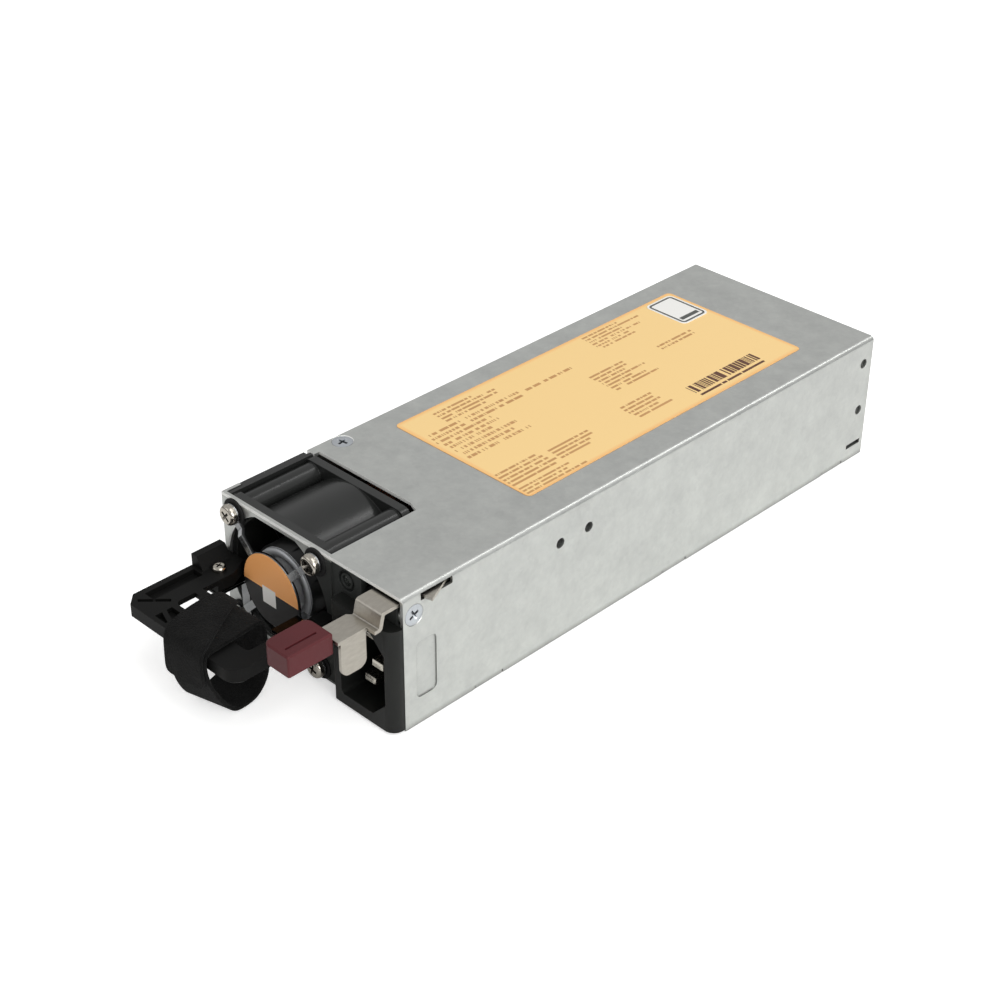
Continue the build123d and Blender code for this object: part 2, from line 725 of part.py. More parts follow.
# Handle: a moulded loop at mid height, its right front corner rounded and its left one clipped
handle_top = handle_z + handle_thickness
handle_front = front - handle_reach
opening_left = left + handle_left_arm
opening_right = handle_right - handle_right_arm
opening_front = handle_front + handle_bar
hook_front = opening_front + 6.2
hook_width = 2.5
hook_length = 20.0
underside_reach = 3.7
rail_front = front - 11.2
rail_back = front - 1.8
rail_width = (2.2, 4.6)
relief = 1.5
pocket = (left + 11.5, left + 15.9)
foot_gap = 0.2
with BuildPart() as handle:
    with BuildSketch(Plane.XY.offset(handle_z)) as plan:
        rectangle(left, handle_front, handle_right, front - foot_gap)
        chamfer(plan.vertices().sort_by_distance((left, handle_front))[0], 3.1)
        fillet(plan.vertices().sort_by_distance((handle_right, handle_front))[0], 4.0)
        with BuildSketch(mode=Mode.PRIVATE) as hole:
            rectangle(opening_left, opening_front, opening_right, front)
            fillet(hole.vertices().group_by(Axis.Y)[0], 1.5)
            # Room for the guard's disc behind the left arm
            with BuildLine():
                Polyline(
                    (opening_left - 3.0, front), (opening_left, front - 6.0), (opening_left + 1.0, front),
                    close=True,
                )
            make_face()
        add(hole.sketch, mode=Mode.SUBTRACT)
        rectangle(opening_left - 1.0, hook_front, opening_left + hook_length - hook_width / 2,
                  hook_front + hook_width)
        with Locations((opening_left + hook_length - hook_width / 2, hook_front + hook_width / 2)):
            Circle(hook_width / 2)
    extrude(amount=handle_thickness)
    bottom_edges = handle.faces().sort_by(Axis.Z)[0].outer_wire().edges()
    chamfer(bottom_edges.filter_by_position(Axis.Y, handle_front - 1, front - 1, (True, True)), 0.5)
    # The left arm's inner half and the hook are hollow underneath and only a skin thick
    with BuildSketch(Plane.XY.offset(handle_z)):
        rectangle(opening_left - underside_reach, opening_front, opening_left + seam_gap, rail_front)
        rectangle(opening_left, hook_front - seam_gap, opening_left + hook_length + seam_gap,
                  hook_front + hook_width + seam_gap)
    extrude(amount=handle_thickness - handle_skin, mode=Mode.SUBTRACT)
    # Raised rail beside the case, sloping down to the arm
    with BuildSketch(facing_front(rail_back)):
        with BuildLine():
            Polyline((left, handle_top), (left, handle_top + handle_rail_height),
                     (left + rail_width[0], handle_top + handle_rail_height),
                     (left + rail_width[1], handle_top), close=True)
        make_face()
    extrude(amount=rail_back - rail_front)
    # Channel along the left arm, the two pockets beside the strap and the groove to the clipped corner
    with BuildSketch(Plane.XY.offset(handle_top)):
        rectangle(left + 1.9, handle_front + 5.4, left + 5.7, front - 12.2)
        with BuildLine():
            Polyline((left + 2.6, handle_front + 2.6), (left + 3.5, handle_front + 1.9),
                     (left + 9.4, handle_front + 8.0), (left + 8.5, handle_front + 8.8), close=True)
        make_face()
        with BuildLine():
            Polyline((pocket[0], handle_front + 6.7), (pocket[1], handle_front + 6.7),
                     (pocket[1], handle_front + 3.4), (pocket[0], handle_front + 5.0), close=True)
        make_face()
        with BuildLine():
            Polyline((pocket[0], handle_front + 3.6), (pocket[1], handle_front + 2.0),
                     (pocket[1], handle_front + 1.4), (pocket[0], handle_front + 1.4), close=True)
        make_face()
    extrude(amount=-relief, mode=Mode.SUBTRACT)
    with BuildSketch(Plane.XY.offset(handle_top)):
        with Locations(*[(x, handle_screw_y) for x in handle_screw_x]):
            Circle(handle_screw_r + running_gap)
    extrude(amount=-handle_thickness, mode=Mode.SUBTRACT)
save(handle, "handle")

handle_screw_head_r = 1.9
with BuildPart() as handle_screws:
    screw_points = [(x, handle_screw_y) for x in handle_screw_x]
    with BuildSketch(Plane.XY.offset(handle_top)):
        with Locations(*screw_points):
            Circle(handle_screw_head_r)
    extrude(amount=1.3)
    chamfer(handle_screws.edges().group_by(Axis.Z)[-1], 0.6)
    with BuildSketch(Plane.XY.offset(handle_top)):
        with Locations(*screw_points):
            Circle(handle_screw_r)
    extrude(amount=-handle_thickness - tongue_sheet - 1.0)
save(handle_screws, "handle_screws")

# Cable strap: a closed band of hook-and-loop tape around the handle's bar and hook, resting on the floor
band_back = hook_front + hook_width + strap_gap
band_front = handle_front - strap_slack
band_top = handle_top + strap_slack
band_low = strap_thickness + strap_lift
band_corner = 2.8
band_taper = 5.0
band_side_z = handle_z / 2
with BuildPart() as cable_strap:
    with BuildSketch(Plane.YZ.offset(opening_left + strap_inset)) as band:
        with BuildLine():
            Polyline(
                (band_back, band_top), (band_front, band_top),
                (band_front, band_side_z), (band_front + band_taper, band_low),
                (band_back - band_taper, band_low), (band_back, band_side_z), close=True,
            )
        make_face()
        # Within this sketch X runs along the part's Y, and Y along its Z
        fillet(band.vertices().group_by(Axis.Y)[1], 1.6 * band_taper)
        fillet(band.vertices().group_by(Axis.Y)[-1].sort_by(Axis.X)[-1], 0.8)
        fillet(band.vertices().group_by(Axis.Y)[-1].sort_by(Axis.X)[0], band_corner)
        fillet(band.vertices().group_by(Axis.Y)[0], band_taper)
        offset(amount=strap_thickness)
        offset(amount=-strap_thickness, mode=Mode.SUBTRACT)
    extrude(amount=strap_width)
save(cable_strap, "cable_strap")

# Release lever: a stepped steel strip that turns about a vertical rivet, with the latch tooth on its edge
lever_top = lever_z + lever_sheet
lever_low = lever_z - lever_step
neck_front = front - 8.0
lever_tip = front - 29.0
neck_left = lever_left - lever_neck_inset
neck_right = neck_left + lever_neck_width
tang_right = neck_left + 4.4
grip_back = front - 17.4
tab_back = front - 8.3
pivot_place = (right - pivot_inset, front + pivot_y)
lever_end_r = 4.0
taper_front = front + pivot_y - 24.0
taper_back = front + pivot_y - 16.0
lever_back = front + pivot_y + 10.0
with BuildPart() as release_lever:
    # Side profile: the upper flat, the step and the lower flat
    with BuildSketch(Plane.YZ.offset(slot_left)) as side:
        bend = front - lever_front
        with BuildLine():
            Polyline(
                (lever_back, lever_z), (bend, lever_z), (bend - lever_sheet, lever_low),
                (lever_tip, lever_low), (lever_tip, lever_low + lever_sheet),
                (bend - 2 * lever_sheet, lever_low + lever_sheet), (bend - lever_sheet, lever_top),
                (lever_back, lever_top), close=True,
            )
        make_face()
        for corner in ((bend - lever_sheet, lever_top), (bend - lever_sheet, lever_low)):
            fillet(side.vertices().sort_by_distance(corner)[0], 1.2)
        for corner in ((bend, lever_z), (bend - 2 * lever_sheet, lever_low + lever_sheet)):
            fillet(side.vertices().sort_by_distance(corner)[0], 0.4)
    extrude(amount=30.0)
    # Plan outline with the neck, the tooth and the round end
    with BuildSketch(Plane.XY.offset(lever_low - lever_sheet)):
        with BuildLine():
            Polyline(
                (lever_left, neck_front), (lever_right, neck_front),
                (lever_right, front + tooth_front), (right + tooth_reach, front + tooth_front + 0.8),
                (lever_right, front + tooth_front + tooth_length), (lever_right, taper_front),
                (pivot_place[0] + lever_end_r, taper_back), (pivot_place[0] + lever_end_r, pivot_place[1]),
                (pivot_place[0] - lever_end_r, pivot_place[1]), (pivot_place[0] - lever_end_r, taper_back),
                (lever_left, taper_front), close=True,
            )
        make_face()
        with Locations(pivot_place):
            Circle(lever_end_r)
            Circle(pivot_r + running_gap, mode=Mode.SUBTRACT)
        with BuildLine():
            Polyline(
                (neck_left, grip_back), (neck_left, neck_front), (lever_left, neck_front + 1.0),
                (neck_right, neck_front + 1.0), (neck_right, grip_back + 0.3), (tang_right, grip_back + 0.3),
                (tang_right, lever_tip), (neck_left, lever_tip), close=True,
            )
        make_face()
    extrude(amount=lever_step + 3 * lever_sheet, mode=Mode.INTERSECT)
    # Tab bent down from the neck's right edge, beside the plug
    with BuildSketch(Plane.YZ.offset(neck_right - lever_sheet)) as flap:
        rectangle(tab_back - lever_tab_length, lever_low + lever_sheet - lever_tab_drop, tab_back,
                  lever_low + lever_sheet)
        fillet(flap.vertices().group_by(Axis.Y)[0], lever_tab_rounding)
    extrude(amount=lever_sheet)
save(release_lever, "release_lever")

# Grip: a moulded block over the lever's tang
grip_left = neck_left - 3.1
grip_low = lever_low - (grip_height - lever_sheet) / 2
with BuildPart() as lever_grip:
    with BuildSketch(Plane.XY.offset(grip_low)) as plan:
        rectangle(grip_left, grip_back - grip_length, grip_left + grip_width, grip_back)
        fillet(plan.vertices().group_by(Axis.X)[0], 2.4)
        fillet(plan.vertices().group_by(Axis.X)[-1], 0.5)
    extrude(amount=grip_height)
    chamfer(lever_grip.faces().sort_by(Axis.Z)[-1].edges(), 0.4)
    with BuildSketch(Plane.XY.offset(grip_low + grip_height)):
        rectangle(grip_left + 6.0, grip_back - grip_length + 1.8, grip_left + 6.7, grip_back - 2.6)
    extrude(amount=-0.6, mode=Mode.SUBTRACT)
    add(release_lever.part, mode=Mode.SUBTRACT)
save(lever_grip, "lever_grip")

# Latch bracket: folded from sheet, welded to the inside of the case's right side, with two extruded holes
bracket_z = lever_z - 5.0
bracket_left = pivot_place[0] - 5.0
bracket_right = inner_right
bracket_drop = 7.0
bracket_back = front + 72.0
with BuildPart() as latch_bracket:
    with BuildSketch(facing_front(bracket_back)) as profile:
        with BuildLine():
            Polyline(
                (bracket_left, bracket_z), (bracket_right, bracket_z),
                (bracket_right, bracket_z - bracket_drop), (bracket_right - sheet, bracket_z - bracket_drop),
                (bracket_right - sheet, bracket_z - sheet), (bracket_left, bracket_z - sheet), close=True,
            )
        make_face()
        fillet(profile.vertices().sort_by_distance((bracket_right, bracket_z))[0], fold_radius)
    extrude(amount=bracket_back - front - pivot_y + 6.0)
    with BuildSketch(Plane.XY.offset(bracket_z - sheet)):
        rectangle(bracket_left - sheet, pivot_place[1] + 7.0, bracket_right - 2 * sheet, bracket_back)
        with Locations(pivot_place):
            Circle(pivot_r)
    extrude(amount=sheet, mode=Mode.SUBTRACT)
    with BuildSketch(Plane.YZ.offset(bracket_right - sheet)):
        with Locations(*front_holes):
            Circle(side_hole_r)
    extrude(amount=sheet, mode=Mode.SUBTRACT)
save(latch_bracket, "latch_bracket")

# Pivot: a shouldered rivet from the bracket up through the lever
shoulder_r = 2.6
rivet_head_r = 3.4
with BuildPart() as pivot:
    with BuildSketch(Plane.XZ) as half:
        with BuildLine():
            Polyline(
                (0, -sheet - 0.8), (rivet_head_r - 0.6, -sheet - 0.8), (rivet_head_r - 0.6, -sheet),
                (pivot_r, -sheet), (pivot_r, 0), (shoulder_r, 0),
                (shoulder_r, lever_z - bracket_z - running_gap), (pivot_r, lever_z - bracket_z - running_gap),
                (pivot_r, lever_top - bracket_z + running_gap),
                (rivet_head_r, lever_top - bracket_z + running_gap),
                (rivet_head_r - 0.5, wall_top - bracket_z - 0.1), (0, wall_top - bracket_z - 0.1), close=True,
            )
        make_face()
    revolve(axis=Axis.Z)
with BuildPart() as lever_pivot:
    with Locations((*pivot_place, bracket_z)):
        add(pivot.part)
save(lever_pivot, "lever_pivot")

# Return spring: turns of square wire around the rivet's shoulder, with one leg beside the lever
spring_wire = 0.7
spring_r = shoulder_r + spring_wire / 2 + 0.25
spring_turns = 3
spring_pitch = 1.1
spring_z = bracket_z + spring_wire / 2 + 0.1
with BuildPart() as lever_spring:
    with BuildLine() as wire:
        coil = Helix(pitch=spring_pitch, height=spring_pitch * spring_turns, radius=spring_r,
                     center=(*pivot_place, spring_z))
        Line(coil @ 1, coil @ 1 + (coil % 1) * 7.0)
    with BuildSketch(Plane(coil @ 0, z_dir=coil % 0)):
        Rectangle(spring_wire, spring_wire)
    sweep(path=wire.wires()[0], is_frenet=True)
save(lever_spring, "lever_spring")

# Labels on the cover: the wide rating label and a small badge on it
label_size = (51.0, 115.0)
label_left = left + 7.1
label_front = front + 54.4
badge_size = (15.8, 11.6)
badge_inset = (1.5, 1.3)
label_centre = (label_left + label_size[0] / 2, label_front + label_size[1] / 2)
badge_centre = (
    label_left + badge_inset[0] + badge_size[0] / 2,
    label_front + label_size[1] - badge_inset[1] - badge_size[1] / 2,
)
with BuildPart() as rating_label:
    with BuildSketch(Plane.XY.offset(case_height)):
        with Locations(label_centre):
            RectangleRounded(*label_size, 1.5)
    extrude(amount=label_thickness)
save(rating_label, "rating_label")

with BuildPart() as badge_label:
    with BuildSketch(Plane.XY.offset(case_height + label_thickness)):
        with Locations(badge_centre):
            RectangleRounded(*badge_size, 1.8)
    extrude(amount=label_thickness)
save(badge_label, "badge_label")

# Main board: on standoffs over an insulating film, its card edge leaving through the rear panel
board_left = left + board_margin
board_right = inner_right - board_margin
board_rear = rear - 3.0
board_y0 = fan_back + board_fan_gap
standoff_r = 2.6
board_screw_r = 1.4
board_screw_head = 1.6
standoff_inset = 4.0
standoff_places = [
    (x, y)
    for x in (board_left + standoff_inset, board_right - standoff_inset)
    for y in (board_y0 + standoff_inset, board_rear - standoff_inset)
]
with BuildPart() as main_board:
    with BuildSketch(Plane.XY.offset(board_z)) as plan:
        rectangle(board_left, board_y0, board_right, board_rear)
        fillet(plan.vertices(), 1.5)
        rectangle(-card_edge_width / 2, board_rear - 1.0, card_edge_width / 2, rear + card_edge_reach)
        chamfer(plan.vertices().group_by(Axis.Y)[-1], 1.0)
        with Locations(*standoff_places):
            Circle(board_screw_r + running_gap, mode=Mode.SUBTRACT)
    extrude(amount=board_thickness)
save(main_board, "main_board")

with BuildPart() as insulator_sheet:
    with BuildSketch(Plane.XY.offset(sheet)):
        rectangle(board_left, board_y0, base_right - 2 * sheet, board_rear)
        with Locations(*standoff_places):
            Circle(standoff_r + seam_gap, mode=Mode.SUBTRACT)
    extrude(amount=film)
save(insulator_sheet, "insulator_sheet")

with BuildPart() as board_standoffs:
    with BuildSketch(Plane.XY.offset(sheet)):
        with Locations(*standoff_places):
            RegularPolygon(standoff_r, 6)
            Circle(board_screw_r, mode=Mode.SUBTRACT)
    extrude(amount=board_lift)
save(board_standoffs, "board_standoffs")

with BuildPart() as board_screws:
    with BuildSketch(Plane.XY.offset(board_top)):
        with Locations(*standoff_places):
            Circle(standoff_r)
    extrude(amount=board_screw_head)
    with BuildSketch(Plane.XY.offset(board_top)):
        with Locations(*standoff_places):
            Circle(board_screw_r)
    extrude(amount=-board_thickness - board_lift + 1.0)
save(board_screws, "board_screws")

# Gold contacts: wide power fingers and narrow signal fingers on both faces of the card edge
contact_thickness = 0.1
contact_length = 6.5
power_width = 3.2
signal_width = 1.0
with BuildPart() as edge_contacts:
    for z in (board_top, board_z - contact_thickness):
        with BuildSketch(Plane.XY.offset(z)):
            with Locations((0, rear + card_edge_reach - 0.8 - contact_length / 2)):
                with Locations((-12.3, 0), (12.3, 0)):
                    with GridLocations(power_width + 0.6, 1, 4, 1):
                        Rectangle(power_width, contact_length)
                with GridLocations(signal_width + 0.5, 1, 5, 1):
                    Rectangle(signal_width, contact_length)
        extrude(amount=contact_thickness)
save(edge_contacts, "edge_contacts")


def toroid(centre, outer_r, inner_r, thickness, axis_plane):
    """A ring core with broken edges, standing or lying on the board."""
    with BuildPart() as ring:
        with BuildSketch(Plane(centre, x_dir=axis_plane.x_dir, z_dir=axis_plane.z_dir)):
            Circle(outer_r)
            Circle(inner_r, mode=Mode.SUBTRACT)
        extrude(amount=thickness / 2, both=True)
        chamfer(ring.edges().filter_by(GeomType.CIRCLE), (outer_r - inner_r) / 4)
    return ring


# Chokes: one stands across the board at the left, one lies flat at the right
choke_hole_r = 4.5
choke_depth = 12.0
choke_r = 10.5
choke_setback = 15.0
choke_centre = (board_left + choke_r + 0.2, board_y0 + choke_setback, board_top + choke_r)
pfc_choke = toroid(choke_centre, choke_r, choke_hole_r, choke_depth, Plane.XZ)
save(pfc_choke, "pfc_choke")
filter_r = 9.8
filter_inset = (7.2, 16.0)
filter_centre = (
    inner_right - filter_inset[0] - filter_r, board_y0 + filter_inset[1], board_top + choke_depth / 2
)
emi_choke = toroid(filter_centre, filter_r, choke_hole_r, choke_depth, Plane.XY)
save(emi_choke, "emi_choke")

# The bulk capacitor lies along the left side, behind the standing choke
capacitor_r = 11.0
capacitor_length = 40.0
capacitor_setback = 33.0
capacitor_front = board_y0 + capacitor_setback
capacitor_x = board_left + capacitor_r + 0.4
with BuildPart() as bulk_capacitor:
    with BuildSketch(facing_front(capacitor_front + capacitor_length)):
        with Locations((capacitor_x, board_top + capacitor_r)):
            Circle(capacitor_r)
    extrude(amount=capacitor_length)
    chamfer(bulk_capacitor.edges().filter_by(GeomType.CIRCLE), 0.8)
save(bulk_capacitor, "bulk_capacitor")


def upright_boxes(places, size, rounding):
    """Boxed components of one kind standing on the board, each width, depth and height as in size."""
    with BuildPart() as boxes:
        with BuildSketch(Plane.XY.offset(board_top)):
            with Locations(*places):
                RectangleRounded(size[0], size[1], rounding)
        extrude(amount=size[2])
        chamfer(boxes.edges().group_by(Axis.Z)[-1], rounding / 2)
    return boxes


x_size = (11.0, 18.0, 17.0)
x_inset = (4.3, 28.5)
x_gap = 1.7
x_places = [
    (inner_right - x_inset[0] - x_size[0] / 2 - index * (x_size[0] + x_gap),
     board_y0 + x_inset[1] + x_size[1] / 2)
    for index in range(2)
]
x_capacitors = upright_boxes(x_places, x_size, 1.0)
save(x_capacitors, "x_capacitors")
relay_size = (9.0, 20.0, 15.0)
relay_setback = 1.0
relay_x = choke_centre[0] + choke_r + 0.4 + relay_size[0] / 2
relay = upright_boxes([(relay_x, board_y0 + relay_setback + relay_size[1] / 2)], relay_size, 0.8)
save(relay, "relay")

fuse_r = 2.8
fuse_length = 12.0
fuse_y = board_y0 + relay_setback + relay_size[1] + 2.2 + fuse_r
with BuildPart() as fuse:
    with BuildSketch(Plane.YZ.offset(relay_x - fuse_length / 2)):
        with Locations((fuse_y, board_top + fuse_r)):
            Circle(fuse_r)
    extrude(amount=fuse_length)
save(fuse, "fuse")

# Heatsink: an extruded wall with fins, carrying the rectifier and the switching transistors
sink_setback = 49.0
sink_front = board_y0 + sink_setback
sink_length = 44.0
sink_height = 24.0
sink_wall = 3.0
fin_reach = 4.0
fin_thickness = 1.4
fin_count = 5
sink_left = capacitor_x + capacitor_r + 0.9
sink_face = sink_left + fin_reach + sink_wall
with BuildPart() as primary_heatsink:
    with BuildSketch(facing_front(sink_front + sink_length)):
        rectangle(sink_face - sink_wall, board_top, sink_face, board_top + sink_height)
        fin_pitch = sink_height / fin_count
        for level in range(fin_count):
            z = board_top + (level + 0.6) * fin_pitch
            rectangle(sink_left, z, sink_face - sink_wall / 2, z + fin_thickness)
    extrude(amount=sink_length)
save(primary_heatsink, "primary_heatsink")

device_size = (14.0, 18.0)
device_depth = 4.4
device_gap = 0.5
device_lift = 4.0
device_pitch = device_size[0] + device_gap
device_z = board_top + device_lift + device_size[1] / 2
device_y = sink_front + device_gap + device_size[0] / 2
with BuildPart() as mosfets:
    with BuildSketch(Plane.YZ.offset(sink_face)):
        with Locations((device_y + device_pitch, device_z), (device_y + 2 * device_pitch, device_z)):
            RectangleRounded(*device_size, 0.8)
    extrude(amount=device_depth)
save(mosfets, "mosfets")
with BuildPart() as bridge_rectifier:
    with BuildSketch(Plane.YZ.offset(sink_face)):
        with Locations((device_y, device_z)):
            RectangleRounded(*device_size, 0.8)
    extrude(amount=device_depth - 0.4)
save(bridge_rectifier, "bridge_rectifier")

# Transformer: an E-core pair around a winding, near the right side
core_size = (19.0, 30.0, 24.0)
core_inset = (3.0, 46.5)
core_centre = (inner_right - core_inset[0] - core_size[0] / 2, rear - core_inset[1] - core_size[1] / 2)
core_plate = 4.0
winding_r = 8.6
centre_leg_r = 5.0
window_height = core_size[2] - 2 * core_plate
with BuildPart() as transformer_core:
    with BuildSketch(Plane.XY.offset(board_top)):
        with Locations(core_centre):
            Rectangle(core_size[0], core_size[1])
    extrude(amount=core_size[2])
    with BuildSketch(Plane.XY.offset(board_top + core_plate)):
        with Locations(core_centre):
            Circle(winding_r + 0.2)
            Rectangle(core_size[0], 1.6 * winding_r)
            Circle(centre_leg_r, mode=Mode.SUBTRACT)
    extrude(amount=window_height, mode=Mode.SUBTRACT)
    chamfer(transformer_core.edges().filter_by(Axis.Z).group_by(SortBy.LENGTH)[-1], 1.0)
save(transformer_core, "transformer_core")
with BuildPart() as transformer_winding:
    with BuildSketch(Plane.XY.offset(board_top + core_plate)):
        with Locations(core_centre):
            Circle(winding_r)
            Circle(centre_leg_r + running_gap, mode=Mode.SUBTRACT)
    extrude(amount=window_height)
save(transformer_winding, "transformer_winding")

inductor_size = (15.0, 20.0, 15.0)
inductor_inset = (7.0, 45.0)
inductor_place = (
    board_left + inductor_inset[0] + inductor_size[0] / 2, rear - inductor_inset[1] - inductor_size[1] / 2
)
output_inductor = upright_boxes([inductor_place], inductor_size, 2.0)
save(output_inductor, "output_inductor")

filter_can_r = 4.0
filter_can_height = 12.0
can_pitch = 2 * filter_can_r + 1.6
can_inset = (4.0, 25.4)
can_places = [
    (inner_right - can_inset[0] - filter_can_r - column * can_pitch,
     rear - can_inset[1] - filter_can_r - row * can_pitch)
    for column in range(4) for row in range(2)
]
with BuildPart() as output_capacitors:
    with BuildSketch(Plane.XY.offset(board_top)):
        with Locations(*can_places):
            Circle(filter_can_r)
    extrude(amount=filter_can_height)
save(output_capacitors, "output_capacitors")

# Busbars: two folded copper strips from the capacitors' side to the card edge
busbar_width = 10.0
busbar_sheet = 1.2
busbar_offset = 12.0
busbar_rear = rear - 6.0
busbar_length = 16.0
busbar_front = busbar_rear - busbar_length
with BuildPart() as output_busbars:
    for x in (-busbar_offset, busbar_offset):
        with BuildSketch(Plane.YZ.offset(x - busbar_width / 2)):
            rectangle(busbar_front, board_top, busbar_rear, board_top + busbar_sheet)
            rectangle(busbar_front, board_top, busbar_front + busbar_sheet, board_top + 3 * busbar_sheet)
        extrude(amount=busbar_width)
save(output_busbars, "output_busbars")

# Control board: a small upright board at the left rear with its chips
control_inset = (4.0, 15.0)
control_x = board_left + control_inset[0]
control_rear = rear - control_inset[1]
control_size = (46.0, 24.0)
chip_height = 1.6
large_chip = 10.0
small_chip = (5.0, 6.0)
with BuildPart() as control_board:
    with BuildSketch(Plane.YZ.offset(control_x)):
        rectangle(control_rear - control_size[0], board_top, control_rear, board_top + control_size[1])
    extrude(amount=board_thickness)
save(control_board, "control_board")
with BuildPart() as control_chips:
    with BuildSketch(Plane.YZ.offset(control_x + board_thickness)):
        with Locations((control_rear - 1.2 * large_chip, board_top + control_size[1] / 2)):
            Rectangle(large_chip, large_chip)
        for share in (0.3, 0.7):
            with Locations((control_rear - 0.7 * small_chip[0], board_top + share * control_size[1])):
                Rectangle(*small_chip)
    extrude(amount=chip_height)
save(control_chips, "control_chips")

# Leads: the mains wires from the pins' tails to the board, and the fan's lead
lead_r = 0.8
lead_bend = 1.3
pin_end = front + neck_depth + pin_tail
lead_stub = 3.0
fan_lead_inset = 2.2
fan_lead_rise = 3.4
lead_rise = 8.0
lead_setback = (3.0, 2.0)
with BuildPart() as ac_leads:
    for dx, dz in pin_places:
        start = Vector(cavity_x + dx, pin_end, cavity_z + dz)
        foot = Vector(left + inlet_left + dz / 2, board_y0 + lead_setback[0], board_top)
        with BuildLine() as route:
            FilletPolyline(start, start + (0, lead_stub, 0), foot + (0, 0, lead_rise), foot, radius=lead_bend)
        with BuildSketch(Plane(start, z_dir=(0, 1, 0))):
            RegularPolygon(lead_r, 6)
        sweep(path=route.wires()[0])
save(ac_leads, "ac_leads")

with BuildPart() as fan_lead:
    start = Vector(fan_x + fan_size / 2 - fan_lead_inset, fan_back, board_top + fan_lead_rise)
    foot = Vector(start.X, board_y0 + lead_setback[1], board_top)
    with BuildLine() as route:
        FilletPolyline(start, (foot.X, foot.Y, start.Z), foot, radius=lead_bend)
    with BuildSketch(Plane(start, z_dir=(0, 1, 0))):
        RegularPolygon(lead_r, 6)
    sweep(path=route.wires()[0])
save(fan_lead, "fan_lead")
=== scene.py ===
"""Looks for a hot swap server power supply: steel case, fan, latch, handle, strap and mains inlet."""
import math
import random

import bpy
import bmesh
from mathutils import Matrix, Vector


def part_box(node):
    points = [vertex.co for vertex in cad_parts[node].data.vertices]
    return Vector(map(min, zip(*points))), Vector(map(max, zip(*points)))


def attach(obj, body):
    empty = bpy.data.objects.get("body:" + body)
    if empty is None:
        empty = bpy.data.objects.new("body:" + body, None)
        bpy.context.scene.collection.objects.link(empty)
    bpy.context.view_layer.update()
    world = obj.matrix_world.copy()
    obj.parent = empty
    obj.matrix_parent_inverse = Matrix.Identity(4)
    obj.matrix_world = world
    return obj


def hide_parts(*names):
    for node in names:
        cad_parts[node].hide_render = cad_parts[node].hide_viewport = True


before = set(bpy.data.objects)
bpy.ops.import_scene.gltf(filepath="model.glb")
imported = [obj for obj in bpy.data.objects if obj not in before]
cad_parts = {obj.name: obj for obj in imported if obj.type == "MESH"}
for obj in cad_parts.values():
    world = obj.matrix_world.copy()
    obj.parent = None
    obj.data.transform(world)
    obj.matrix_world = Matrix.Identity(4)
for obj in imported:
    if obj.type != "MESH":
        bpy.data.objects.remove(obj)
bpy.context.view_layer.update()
MM = 0.001  # one millimetre in metres


# The studio: a matt white floor that keeps the shadow, a white surround, soft lamps and the photograph's camera.
# The surround lights matt surfaces evenly, while mirrored rays see a ceiling that dims toward the horizon.
def linear(colour):
    """A hex colour as it looks on screen, turned into Blender's linear numbers."""
    parts = [int(colour[i:i + 2], 16) / 255 for i in (1, 3, 5)]
    return tuple(c / 12.92 if c < 0.04045 else ((c + 0.055) / 1.055) ** 2.4 for c in parts) + (1.0,)


def add_node(tree, kind, inputs=None, **settings):
    """Adds one node. inputs gives its sockets a value or a link from another node's socket."""
    node = tree.nodes.new(kind)
    for name, value in settings.items():
        setattr(node, name, value)
    for name, value in (inputs or {}).items():
        if isinstance(value, bpy.types.NodeSocket):
            tree.links.new(value, node.inputs[name])
        else:
            node.inputs[name].default_value = value
    return node


def deselect():
    """Leaves nothing selected, so that the next operator acts only on the new piece."""
    if bpy.context.object and bpy.context.object.mode != "OBJECT":
        bpy.ops.object.mode_set(mode="OBJECT")
    bpy.ops.object.select_all(action="DESELECT")


world = bpy.data.worlds.new("white_surround")
bpy.context.scene.world = world
world.use_nodes = True
tree = world.node_tree
tree.nodes.clear()
path = add_node(tree, "ShaderNodeLightPath")
seen = add_node(tree, "ShaderNodeMath", {0: path.outputs["Is Camera Ray"], 1: path.outputs["Is Transmission Ray"]},
                operation="MAXIMUM")
aim = add_node(tree, "ShaderNodeSeparateXYZ", {0: add_node(tree, "ShaderNodeTexCoord").outputs["Generated"]})
ceiling = add_node(tree, "ShaderNodeMapRange", {"Value": aim.outputs["Z"], "From Min": 0.06, "From Max": 0.27,
                                                "To Min": 0.10, "To Max": 0.56})
# Rays that aim well below the horizon see full white, as the pale table would give them.
below = add_node(tree, "ShaderNodeMath", {0: aim.outputs["Z"], 1: -0.12}, operation="LESS_THAN")
level = add_node(tree, "ShaderNodeMath", {0: below.outputs[0], 1: ceiling.outputs[0]}, operation="MAXIMUM")
soft = add_node(tree, "ShaderNodeBackground", {"Color": (1, 1, 1, 1), "Strength": 0.50})
mirrored = add_node(tree, "ShaderNodeBackground", {"Color": (1, 1, 1, 1), "Strength": level.outputs[0]})
white = add_node(tree, "ShaderNodeBackground", {"Color": (1, 1, 1, 1), "Strength": 1.0})
glossy = add_node(tree, "ShaderNodeMixShader",
                  {0: path.outputs["Is Glossy Ray"], 1: soft.outputs[0], 2: mirrored.outputs[0]})
surround = add_node(tree, "ShaderNodeMixShader", {0: seen.outputs[0], 1: glossy.outputs[0], 2: white.outputs[0]})
add_node(tree, "ShaderNodeOutputWorld", {"Surface": surround.outputs[0]})

